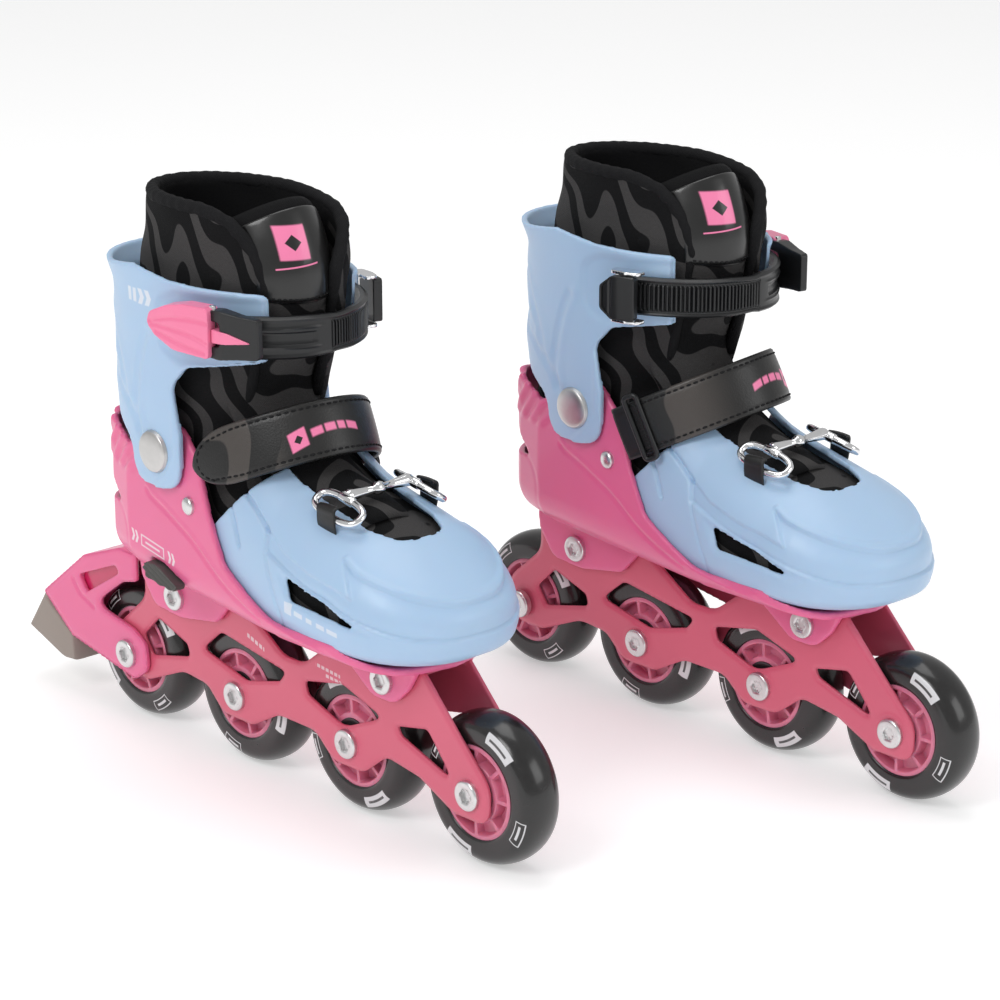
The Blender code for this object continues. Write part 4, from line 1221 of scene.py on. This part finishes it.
def wrap_part():
    """Open collar from under the cuff to its rim, as a closed thick strip."""
    rings = []
    for angle in flap_angles(110):
        rim = rim_height(wrap_angle(angle))
        ring = []
        heights = [158 + (rim - 158) * k / 36 for k in range(37)]
        ring += [leg_point(z, angle, liner_grow(angle, z)) for z in heights]
        ring += [leg_point(z, angle, liner_grow(angle, z) - 5.2) for z in reversed(heights)]
        rings.append(ring)
    return loft(rings, "wrap")


def liner():
    """Padded boot: foot and collar skinned as one, puckered above the instep."""
    top = [(-20, 85), (-20, 160), (8, 186), (60, 192), (112, 186), (150, 190), (250, 190), (250, 85)]
    foot = shaped(foot_form(-5.6), ("&", prism(top, -80, 80)), ("-", foot_form(-10.4)),
                  ("-", leg_form([(100, 14, 104, 30), (170, 14, 108, 30), (200, 14, 112, 31)], 0)))
    body = moulded(merged(foot, wrap_part()), 1.3, 5)

    def rise(p, n):
        x, z = p[:, 0], p[:, 2]
        pucker = 0.5 * np.sin(z * 0.22 + x * 0.05) * np.sin(x * 0.13 + 1.0)
        return pucker * smooth(150, 175, z)

    return sculpt(body, rise)


def rim_roll(sizes):
    """Rolled fleece edge along both flaps and round the back."""
    path = []
    for z in (186, 200, 214, 228, 238):
        path.append(leg_point(z, FLAP_LATERAL, -2.4 + liner_grow(FLAP_LATERAL, z) * 0.5))
    for angle in flap_angles(64):
        rim = rim_height(wrap_angle(angle))
        path.append(leg_point(rim, angle, liner_grow(angle, rim) - 2.3))
    for z in (238, 228, 214, 200, 186):
        path.append(leg_point(z, FLAP_MEDIAL, -2.4 + liner_grow(FLAP_MEDIAL, z) * 0.5))
    fine = flow([tuple(p) for p in path], 3)
    ends = [sizes.rim_roll * (0.82 if 12 < i < len(fine) - 12 else 0.70) for i in range(len(fine))]
    roll = tube(fine, ends, 14)

    def rise(p, n):
        return 0.22 * np.sin(p[:, 0] * 0.9) * np.sin(p[:, 1] * 0.8 + 1) + 0.15 * np.sin(p[:, 2] * 1.1)

    return sculpt(roll, rise)


TONGUE_LINE = [(116, 280), (124.5, 265), (129.6, 247), (127.3, 226), (121.5, 206), (117, 193), (119.5, 181),
               (130, 168), (146, 157.5), (164, 151.2), (178, 146.5)]
TONGUE_WIDE = [(0, 30), (0.25, 31), (0.55, 26), (0.8, 20), (1.0, 16)]


def tongue_frames(count, lift=0.0):
    """Centre line of the tongue as point, outward direction and share of its length."""
    line = flow(TONGUE_LINE, 10)
    lengths = np.cumsum([0] + [math.dist(a, b) for a, b in zip(line, line[1:])])
    xs, zs = zip(*line)
    frames = []

    def spot(at):
        at = min(max(at, 0), lengths[-1])
        return Vector((np.interp(at, lengths, xs), 0, np.interp(at, lengths, zs)))

    for k in range(count):
        at = lengths[-1] * k / (count - 1)
        along = (spot(at + 2) - spot(at - 2)).normalized()
        outward = Vector((-along.z, 0, along.x))
        frames.append((spot(at) + outward * lift, outward, at / lengths[-1]))
    return frames


def tongue_bow(y, t):
    """How far the tongue falls back at y from its middle, a share t down its length."""
    deep = 84 - 52 * t
    return deep * (1 - math.sqrt(max(1 - (y / 37.5) ** 2, 0.05)))


def tongue():
    """Padded tongue, thin at its ends, crumpled where the leg bends."""
    rings = []
    for point, outward, t in tongue_frames(80):
        edge = min(t * 30, (1 - t) * 24, 1)
        close = math.sqrt(max(1 - (1 - edge) ** 2, 0.02))
        half = np.interp(t, *zip(*TONGUE_WIDE)) * (0.86 + 0.14 * close)
        thick = 3.3 * close
        ring = []
        for k in range(56):
            a = 2 * math.pi * k / 56
            y = half * power(math.cos(a), 0.7)
            up = thick * power(math.sin(a), 0.8)
            crumple = 0.5 * math.sin(t * 34) * math.exp(-((t - 0.55) / 0.16) ** 2)
            ring.append(point + Vector((0, y - 3, 0)) + outward * (up - 3.1 - tongue_bow(y, t) + crumple))
        rings.append(ring)
    return loft(rings, "tongue")


def tongue_patch():
    """Glossy panel on the upper tongue with rolled edges."""
    first, last, width, rings = 0.03, 0.285, 21.5, []
    for point, outward, t in tongue_frames(240, 0.75):
        if not first < t < last:
            continue
        edge = min((t - first) * 60, (last - t) * 60, 1)
        lift = 0.9 * math.sqrt(max(1 - (1 - edge) ** 2, 0))
        ring = []
        for k in range(41):
            y = -width + 2 * width * k / 40
            round_off = 1 - max(abs(y) / width - 0.94, 0) / 0.06
            ring.append(point + Vector((0, y - 3, 0)) + outward * (lift * math.sqrt(max(round_off, 0)) - 0.4
                                                                   - tongue_bow(y, t)))
        for k in range(40, -1, -1):
            y = -width + 2 * width * k / 40
            ring.append(point + Vector((0, y - 3, 0)) + outward * (-1.6 - tongue_bow(y, t)))
        rings.append(ring)
    return loft(rings, "patch")


def stitches(line, pitch, radius):
    """Row of stitches along a line on a surface, each a bar that thins at its ends."""
    lengths = np.cumsum([0] + [math.dist(a, b) for a, b in zip(line, line[1:])])
    made = []
    for k in range(int(lengths[-1] / pitch)):
        start, end = (Vector([np.interp(at, lengths, col) for col in zip(*line)])
                      for at in (k * pitch, k * pitch + pitch * 0.68))
        bar = [start.lerp(end, t) for t in (0, 0.15, 0.5, 0.85, 1)]
        made.append(tube(bar, [radius * share for share in (0.35, 0.85, 1, 0.85, 0.35)], 6))
    return merged(*made)


class SKATE_OT_liners(bpy.types.Operator):
    """Sew the liner, its rolled rim, the tongue and the tongue's panel"""
    bl_idname = "skate.liners"
    bl_label = "Liners"

    def execute(self, context):
        sizes = context.scene.skate_sizes
        across = ((58, 150), (62, 196))
        finish_piece(liner(), "liner", "chassis", "liner_knit", "knit", ["liner_foot", "liner_collar"],
                     blend=across, padded=0.7, flip=False)
        finish_piece(tongue(), "tongue", "chassis", "liner_knit", "knit", blend=((122, 170), (118, 205)),
                     padded=0.7, flip=False)
        finish_piece(rim_roll(sizes), "liner_rim", "chassis", "liner_knit", "fleece", blend=across, padded=0.9,
                     flip=False)
        finish_piece(tongue_patch(), "tongue_panel", "cuff_and_tongue", "leatherette", "patch", flip=False)
        share = 0.272
        point, outward, _ = tongue_frames(240, 0.75)[int(share * 239)]
        hem = []
        for y in (-19.5 + 39 * k / 24 for k in range(25)):
            hem.append(tuple(point + Vector((0, y - 3, 0)) + outward * (0.55 - tongue_bow(y, share))))
        finish_piece(stitches(hem, 2.6, 0.5), "tongue_stitching", "cuff_and_tongue", "leatherette", "thread",
                     flip=False)
        return {"FINISHED"}


# ---------------------------------------------------------------- straps, buckles and clip

def instep_frame(degrees):
    """Point, outward direction and width direction of the instep strap's outer face."""
    t = math.radians(degrees)
    matrix = shift(82, 0, 148) @ turn("Y", -26.6) @ turn("X", -4)
    point = Vector((71 * math.cos(t), 47.4 * math.sin(t), 0))
    outward = Vector((47.4 * math.cos(t), 71 * math.sin(t), 0)).normalized()
    spun = matrix.to_3x3()
    return matrix @ point, spun @ outward, spun @ Vector((0, 0, 1))


def instep_strap():
    """Wide strap with a welt along both edges and a pointed outer end."""
    line = [instep_frame(-77 + 154 * i / 160) for i in range(161)]

    def width(t):
        near = min(t * 7.5, 1)
        return 26.4 * math.sqrt(max(1 - (1 - near) ** 2.1, 0.02)) - 2.5 * max(t - 0.75, 0)

    def outer(t, v):
        edge = max(abs(v) - 0.88, 0) / 0.12
        welt = -0.35 * math.exp(-((abs(v) - 0.80) / 0.05) ** 2)
        return 0.25 + welt - 0.8 * edge ** 2 + 0.35 * (1 - v * v)

    return band(line, width, outer, lambda t, v: -2.1, 32)


def strap_stitching(pitch):
    """Stitches along both edges of the instep strap and round its outer end."""
    made = []
    for v in (-0.80, 0.80):
        line = []
        for i in range(100):
            t = 0.06 + 0.9 * i / 99
            point, outward, up = instep_frame(-77 + 154 * t)
            line.append(tuple(point + up * v * 13.2 * min(1, 0.72 + t * 2) + outward * 0.32))
        made.append(stitches(line, pitch, 0.5))
    ends = []
    for k in range(24):
        v = -1 + 2 * k / 23
        point, outward, up = instep_frame(-77 + 154 * (0.018 + 0.04 * abs(v) ** 2.4))
        ends.append(tuple(point + up * v * 9.4 + outward * 0.4))
    made.append(stitches(ends, pitch, 0.5))
    return merged(*made)


def strap_loop():
    """Rectangular wire loop on the inner side."""
    point, outward, up = instep_frame(66)
    along = up.cross(outward).normalized()
    corners = [(-3.2, -15.5), (3.4, -15.5), (3.4, 15.5), (-3.2, 15.5)]
    path = []
    for u, v in rounded([(u, v, 2.2) for u, v in corners], 5):
        path.append(tuple(point + along * u + up * v + outward * 1.6))
    return tube(path, 1.35, 12, closed=True)


def webbing():
    """Ribbed webbing that runs from the loop down into the heel shell."""
    line = []
    for i in range(30):
        t = i / 29
        point, outward, up = instep_frame(64 + 26 * t)
        dive = 2.2 - 11.5 * float(smooth(0.0, 0.55, t))
        line.append((point + outward * dive - up * 5 * t * t, outward, up))
    return band(line, lambda t: 21.5, lambda t, v: 0.6 + 0.12 * math.sin(v * 40), lambda t, v: -1.0, 40)


def ladder_frame(degrees):
    """Point, outward and up direction of the ladder strap's outer face."""
    t = math.radians(degrees)
    point = Vector((70 + 70.6 * math.cos(t), 50.8 * math.sin(t), 221.0))
    outward = Vector((50.8 * math.cos(t), 70.6 * math.sin(t), 0)).normalized()
    return point, outward, Vector((0, 0, 1))


def ladder_strap():
    """Smooth slotted part on the outer side, then a ridged ladder between two rails."""
    count = 560
    line = [ladder_frame(-56 + 117 * i / count) for i in range(count + 1)]
    teeth_from, pitch = 0.46, 0.0165

    def outer(t, v):
        rail = 0.9 * (1 - smooth(0.0, 0.10, abs(abs(v) - 0.86)))
        edge = -0.9 * max(abs(v) - 0.9, 0) / 0.1
        if t > teeth_from:
            phase = ((t - teeth_from) / pitch) % 1
            tooth = 1.3 * (smooth(0.0, 0.25, phase) - smooth(0.55, 0.95, phase)) - 0.5
            return float(rail + edge + tooth * (1 - smooth(0.60, 0.72, abs(v))))
        slot = (1 - smooth(0.20, 0.30, abs(v))) * smooth(0.12, 0.16, t) * (1 - smooth(0.37, 0.40, t))
        lips = 0.5 * (1 - smooth(0.0, 0.10, abs(abs(v) - 0.38 - 0.25 * t))) * (1 - smooth(0.38, 0.44, t))
        return float(rail * 0.6 + edge - 1.1 * slot + lips + 0.2)

    def width(t):
        waist = smooth(0.30, 0.46, t) * (1 - smooth(0.5, 0.62, t))
        return 19.4 - 1.04 * waist - 1.2 * smooth(0.45, 0.5, t)

    return band(line, width, outer, lambda t, v: -2.7, 34)


def on_cuff(obj, pin, degrees):
    """Move a buckle piece from its pin's own frame, X forward along the cuff, to the cuff."""
    return transformed(obj, shift(*pin) @ turn("Z", degrees))


def lever_fork(grain):
    """Black fork that holds the lever's pin at the strap's end."""
    outline = rounded([(-3, -10.5, 2), (-3, 10.5, 2), (4, 11, 2), (14, 9.4, 3), (24, 8.6, 2), (24, -9.6, 2),
                       (14, -10.2, 3), (4, -11.4, 2)])
    gap = rounded([(-6, -6.2, 0), (-6, 6.4, 0), (5, 5.6, 2.5), (5, -5.4, 2.5)])
    wedge = plan_prism([(-5, -6.8), (6, -6.6), (26, -3.2), (26, 1), (-5, 1)], -30, 30)
    fork = shaped(prism(outline, -6.8, 0.2), ("-", prism(gap, -9, 2)), ("&", wedge))
    return moulded(fork, grain, 3)


LEVER_SIDE = [(0.6, -11, 2), (0.6, 12, 3), (-14, 12.2, 8), (-24, 10.2, 6), (-34, 6, 4), (-36, 0.5, 4),
              (-31, -4.5, 5), (-20, -9.5, 8)]


def lever(grain):
    """Faceted pink grip with three flutes, closed along the cuff."""
    side = plan_prism(rounded([(-41, -5.2, 1), (-37, -7.4, 3), (-18, -9.4, 8), (2, -9.4, 1), (2, -0.8, 0),
                               (-20, -0.9, 6), (-40, -2.6, 1)]), -30, 30)
    body = shaped(prism(rounded(LEVER_SIDE), -10, 0), ("&", side))
    moulded(body, grain, 3)
    lines = (flow([(-34, 1.5), (-24, 4.4), (-12, 5.6), (1, 5.2)]),
             flow([(-34, 0.5), (-24, 0.2), (-10, -1.4), (1, -4.6)]),
             flow([(-30, -2.6), (-22, -4.6), (-12, -7), (-2, -8.4)]))

    def rise(p, n):
        x, z = p[:, 0], p[:, 2]
        lift = np.zeros(len(x))
        for path in lines:
            lift -= 0.75 * groove(x, z, path, 1.5)
        return lift * smooth(0.3, 0.7, -n[:, 1])

    return sculpt(body, rise)


def spike(grain):
    """Pointed pink inlay ahead of the lever."""
    outline = rounded([(1, 2.6, 0.6), (9, 1.4, 3), (21, -2.2, 0.4), (9, -3.6, 3), (1, -3.8, 0.6)])
    wedge = plan_prism([(-5, -7.6), (6, -7.4), (26, -3.9), (26, 1), (-5, 1)], -30, 30)
    return moulded(shaped(prism(outline, -7.8, -2.4), ("&", wedge)), grain, 2)


def ratchet_bracket(grain):
    """Folded chrome cheeks that carry the ratchet's pin."""
    cheek = rounded([(-13, -1.2, 1.5), (-12, 4.5, 2), (-4, 6.2, 3), (3, 5.6, 2.5), (4, -0.8, 1.5)])
    parts = [plan_prism(cheek, low, low + 1.6) for low in (-12.4, 10.8)]
    base = plan_prism([(-12.5, -2.1), (-2.5, -2.1), (-2.5, -0.9), (-12.5, -0.9)], -12.3, 12.3)
    body = shaped(parts[0], ("+", parts[1]), ("+", base))
    return moulded(body, grain, 2)


def ratchet_cap(grain):
    """Thumb cap over the ratchet, thinned towards its end."""
    outline = rounded([(2, -10.4, 2), (2, 10.4, 2), (-10, 10.4, 3), (-16, 5.5, 3), (-16, -5.5, 3),
                       (-10, -10.4, 3)])
    cap = moulded(prism(outline, 3.8, 8.4), grain, 4)

    def rise(p, n):
        x, z = p[:, 0], p[:, 2]
        return -(0.6 * groove(x, z, [(-11, -8), (-11, 8)], 1.2) + 1.6 * smooth(-6, -16, x)) \
            * smooth(0.3, 0.7, n[:, 1])

    return sculpt(cap, rise)


def toe_clip():
    """Two oval spring rings joined by a waisted bar, with collars where the bar meets them."""
    parts = []
    for side in (-1, 1):
        ring = [(14.0 * power(math.cos(a), 0.72), 5.6 * power(math.sin(a), 0.72), 0)
                for a in (2 * math.pi * k / 56 for k in range(56))]
        place = shift(CLIP[0] + 1, CLIP[1] * side, CLIP[2]) @ turn("Y", 10) @ turn("X", -32 * side)
        loop = transformed(tube(ring, 1.75, 16, closed=True), place)
        sleeve = tube([(x, -5.6 * side, 0) for x in (-4.5, -3.8, 3.8, 4.5)], [2.0, 2.3, 2.3, 2.0], 20)
        parts += [loop, transformed(sleeve, place)]
    z = CLIP[2] + 3.9
    rows = [(-19, 2.5), (-17.5, 3.0), (-15.5, 2.8), (-9, 2.1), (-3, 1.6), (-2.2, 2.5), (-1.2, 2.9), (0, 3.0)]
    rows += [(-y, r) for y, r in reversed(rows[:-1])]
    parts.append(tube([(CLIP[0], y, z) for y, r in rows], [r for y, r in rows], 24))
    return merged(*parts)


def clip_tab(y_side):
    """Leather loop through one ring, both ends let into the shell."""
    line = []
    start = Vector((CLIP[0], y_side * 27.5, CLIP[2] - 1.2))
    for k in range(36):
        t = k / 35
        a = math.radians(-25 + 205 * t)
        over = Vector((0, y_side * (2.6 * math.sin(a) + 1.5 - 1.6 * t), 2.7 * math.cos(a) + 0.4))
        point = start + over
        if t > 0.62:
            point += Vector((0, y_side * 2.2, -6.5)) * (t - 0.62) / 0.38
        outward = Vector((0, y_side * math.sin(a), math.cos(a))).normalized()
        line.append((point, outward, Vector((1, 0, 0))))
    return band(line, 11.5, lambda t, v: 0.8 - 0.35 * v * v, lambda t, v: -0.7, 16)


def rivet(radius, seat, top):
    """Shallow dome at -Y with a rolled edge."""
    profile = [(0, -top), (radius * 0.5, -top + 0.25), (radius * 0.8, -top + 0.7), (radius * 0.94, -top + 1.2),
               (radius, -top + 1.9), (radius * 0.98, -seat), (0, -seat)]
    return turned([(r if r > 0.02 else 0, y) for r, y in flow(profile, 4)], 72)


class SKATE_OT_straps(bpy.types.Operator):
    """Make the straps, buckles, rivets and toe clips"""
    bl_idname = "skate.straps"
    bl_label = "Straps and buckles"

    def execute(self, context):
        sizes = context.scene.skate_sizes
        grain = sizes.small_grain
        cuff_body = "cuff_and_tongue"
        lever_place, ratchet_place = (LEVER_PIN, 13), (RATCHET_PIN, -17)
        finish_piece(instep_strap(), "instep_strap_hide", "chassis", "leatherette", "hide", ["instep_strap"])
        finish_piece(strap_stitching(sizes.stitch_pitch), "instep_stitching", "chassis", "leatherette",
                     "thread")
        finish_piece(strap_loop(), "instep_loop", "chassis", "black_nylon", "nylon")
        finish_piece(webbing(), "instep_webbing", "chassis", "leatherette", "thread")
        finish_piece(ladder_strap(), "ladder", cuff_body, "black_nylon", "nylon", ["ladder_strap"], sharp=35)
        finish_piece(on_cuff(lever_fork(grain), *lever_place), "lever_fork", cuff_body, "black_nylon", "nylon")
        finish_piece(on_cuff(spike(grain), *lever_place), "lever_inlay", cuff_body, "pink_shell", "lever_pink")
        finish_piece(on_cuff(lever(grain), *lever_place), "lever_grip", "cam_lever", "pink_shell",
                     "lever_pink", ["buckle_lever"])
        pin = tube([(LEVER_PIN[0], LEVER_PIN[1] - 3.6, z) for z in (213.6, 236.2)], 1.5, 16)
        finish_piece(pin, "lever_pin", cuff_body, "bright_chrome", "chrome")
        finish_piece(on_cuff(ratchet_bracket(grain), *ratchet_place), "ratchet_cheeks", cuff_body,
                     "bright_chrome", "chrome", ["ratchet_bracket"])
        finish_piece(on_cuff(ratchet_cap(grain), *ratchet_place), "ratchet_cover", "ratchet_cap",
                     "black_nylon", "nylon", ["ratchet_lever"])
        finish_piece(toe_clip(), "toe_snap", "toe", "bright_chrome", "chrome", ["toe_clip"], sharp=60)
        for y_side, name in ((-1, "lateral"), (1, "medial")):
            finish_piece(clip_tab(y_side), f"clip_tab_{name}", "toe", "leatherette", "tab")
            big = transformed(rivet(9.6, 45.2, 49.0), shift(ANKLE[0], 0, ANKLE[1]))
            small = transformed(rivet(4.2, 40, 45.8), shift(91, 0, 137) @ turn("Z", -6))
            if y_side > 0:
                transformed(big, ACROSS)
                transformed(small, ACROSS)
            finish_piece(big, f"cuff_rivet_{name}_dome", "chassis", "zinc_fasteners", "satin",
                         [f"cuff_rivet_{name}"], sharp=50)
            finish_piece(small, f"shell_rivet_{name}", "chassis", "zinc_fasteners", "zinc", sharp=50)
        button = moulded(prism(rounded(BUTTON), -44.6, -38.6), grain, 3)

        def ribs(p, n):
            return 0.55 * np.sin((p[:, 0] * 0.5 + p[:, 2] * 1.1) * 2.2) * smooth(0.4, 0.8, -n[:, 1])

        finish_piece(sculpt(button, ribs), "size_button_cap", "size_catch", "dark_grey_nylon", "button",
                     ["size_button"])
        return {"FINISHED"}


# ---------------------------------------------------------------- heel brake

class SKATE_OT_brake(bpy.types.Operator):
    """Mould the heel brake of the right skate"""
    bl_idname = "skate.brake"
    bl_label = "Heel brake"

    def execute(self, context):
        grain = context.scene.skate_sizes.frame_grain
        side = [(-70, 49.5, 2), (-34, 77.5, 6), (-4, 88.5, 8), (8.6, 88, 2), (8.6, 74, 2), (-3, 71, 6),
                (-27, 54, 5), (4, 48.5, 8), (14, 43, 6), (15.5, 30, 8), (5, 22.5, 6), (-18, 26.5, 8),
                (-46.5, 31.5, 2)]
        room = [(-38, 30, 2), (-41, 60, 4), (-32, 73, 6), (-4, 84.5, 6), (30, 84.5, 0), (30, 10, 0),
                (-30, 10, 0)]
        window = [(-39, 66, 2), (-8, 78.5, 2), (-5, 75, 2), (-33, 58, 2)]
        pane = [(-42, 67, 1), (-8, 81, 1), (-2, 75, 1), (-33, 55, 1)]
        outline = rounded(side)
        arm = shaped(prism(outline, -18, 18), ("-", prism(rounded(room), -15.1, 15.1)),
                     ("-", prism(rounded(window), -80, 80)))
        moulded(arm, grain, 3)
        rail = [(-43.5, 62.5), (-38.5, 56.5), (-27, 52)]

        def rise(p, n):
            x, y, z = p.T
            face = smooth(0.3, 0.8, n[:, 1] * np.sign(y)) * (np.abs(y) > 16.5)
            soft = np.clip(1 - line_distance(x, z, outline, True) / 3.5, 0, 1)
            soft = np.maximum(soft, 0.6 * np.clip(1 - line_distance(x, z, rounded(window), True) / 2, 0, 1))
            return face * (-0.9 * soft ** 2 - 0.7 * groove(x, z, rail, 2.2))

        finish_piece(sculpt(arm, rise), "brake_arm_skin", "chassis", "pink_shell", "pink", ["brake_arm"],
                     sides=("right",))
        finish_piece(merged(prism(rounded(pane), -15.0, -13.7), prism(rounded(pane), 13.7, 15.0)),
                     "brake_window", "chassis", "pink_shell", "window", sides=("right",), sharp=30)
        pad = [(-72.6, 48.4), (-87.5, 26.5), (-57.2, 15.2), (-46.4, 17.4), (-47.2, 31.0)]
        rings = []
        for y, shrink in ((-17, 3.2), (-14.5, 0.6), (-11, 0), (11, 0), (14.5, 0.6), (17, 3.2)):
            centre = (-62, 32)
            ring = []
            for u, v in pad:
                away = Vector((u - centre[0], v - centre[1]))
                near = away.normalized() * shrink * (1.0 if u < -55 else 0.25)
                ring.append((u - near.x, y, v - near.y))
            rings.append(ring)
        block = loft(rings, "pad")
        edge = block.modifiers.new("edge", "BEVEL")
        edge.width, edge.segments, edge.limit_method, edge.angle_limit = 0.8, 3, "ANGLE", math.radians(15)
        finish_piece(settle(block), "brake_pad_rubber", "chassis", "brake_rubber", "rubber", ["brake_pad"],
                     sides=("right",), sharp=28)
        return {"FINISHED"}


# ---------------------------------------------------------------- stage

VIEW_TURN, VIEW_DROP = 0.7564, 0.3133  # radians: about Z from behind the skates, and down
VIEW_PLACE = Vector((1.1427, -0.8449, 0.5670))  # metres from the right skate's rear axle on the floor
LENS, SENSOR = 109.59, 36.0
FLOOR_REACH, FLOOR_DROP = 6, 0.0004
MIDDLE = Vector((0, 0, 0.1))
LAMPS = (("key", (0.2, -1.7, 1.7), 0.9, 17), ("fill", (1.9, 0.7, 1.0), 1.0, 7),
         ("top", (-0.3, 0.2, 2.2), 1.4, 13))  # name, place in metres, width, watts


def area_light(name, place, size, watts):
    """Square soft light aimed at the middle of the skates."""
    lamp = bpy.data.lights.new(name, "AREA")
    lamp.shape, lamp.size, lamp.energy = "SQUARE", size, watts
    obj = bpy.data.objects.new(name, lamp)
    obj.location = place
    obj.rotation_euler = (MIDDLE - Vector(place)).to_track_quat("-Z", "Y").to_euler()
    bpy.context.scene.collection.objects.link(obj)


class SKATE_OT_stage(bpy.types.Operator):
    """Lay the floor and set the lights and the camera"""
    bl_idname = "skate.stage"
    bl_label = "Stage"

    def execute(self, context):
        scene = context.scene
        corners = ((-1, -1), (1, -1), (1, 1), (-1, 1))
        floor = new_mesh("studio_floor", [(x * FLOOR_REACH, y * FLOOR_REACH, -FLOOR_DROP) for x, y in corners],
                         [(0, 1, 2, 3)])
        floor.data.materials.append(finishes(context)["floor"])
        world = bpy.data.worlds.new("soft_room")
        world.use_nodes = True
        world.node_tree.nodes["Background"].inputs["Color"].default_value = (1, 1, 1, 1)
        world.node_tree.nodes["Background"].inputs["Strength"].default_value = 0.55
        scene.world = world
        scene.view_settings.view_transform = "Standard"
        for lamp in LAMPS:
            area_light(*lamp)
        right = Vector((math.sin(VIEW_TURN), math.cos(VIEW_TURN), 0))
        level = Vector((-math.cos(VIEW_TURN), math.sin(VIEW_TURN), 0))
        ahead = level * math.cos(VIEW_DROP) - Vector((0, 0, math.sin(VIEW_DROP)))
        above = right.cross(ahead)
        lens = bpy.data.cameras.new("view")
        lens.sensor_width, lens.lens = SENSOR, LENS
        lens.clip_start, lens.clip_end = 0.05, 50
        camera = bpy.data.objects.new("view", lens)
        rows = Matrix((right, above, -ahead)).transposed().to_4x4()
        camera.matrix_world = Matrix.Translation(axle_floor("right") + VIEW_PLACE) @ rows
        scene.collection.objects.link(camera)
        scene.camera = camera
        return {"FINISHED"}


class SKATE_PT_panel(bpy.types.Panel):
    """Sizes, colours and the makers of each group of pieces"""
    bl_idname = "SKATE_PT_panel"
    bl_label = "Inline skates"
    bl_space_type = "VIEW_3D"
    bl_region_type = "UI"
    bl_category = "Skates"

    def draw(self, context):
        for group in (context.scene.skate_sizes, context.scene.skate_colours):
            box = self.layout.box()
            for key in group.__annotations__:
                box.prop(group, key)
        for maker in OPERATORS:
            self.layout.operator(maker.bl_idname)


OPERATORS = (SKATE_OT_stage, SKATE_OT_shells, SKATE_OT_frames, SKATE_OT_wheels, SKATE_OT_liners,
             SKATE_OT_straps, SKATE_OT_brake)
CLASSES = (SkateSizes, SkateColours, *OPERATORS, SKATE_PT_panel)


def register():
    for item in CLASSES:
        bpy.utils.register_class(item)
    bpy.types.Scene.skate_sizes = bpy.props.PointerProperty(type=SkateSizes)
    bpy.types.Scene.skate_colours = bpy.props.PointerProperty(type=SkateColours)


def unregister():
    del bpy.types.Scene.skate_sizes
    del bpy.types.Scene.skate_colours
    for item in reversed(CLASSES):
        bpy.utils.unregister_class(item)


def main():
    register()
    bpy.ops.skate.stage()
    bpy.ops.skate.shells()
    bpy.ops.skate.frames()
    bpy.ops.skate.wheels()
    bpy.ops.skate.liners()
    bpy.ops.skate.straps()
    bpy.ops.skate.brake()


if __name__ == "__main__":
    main()
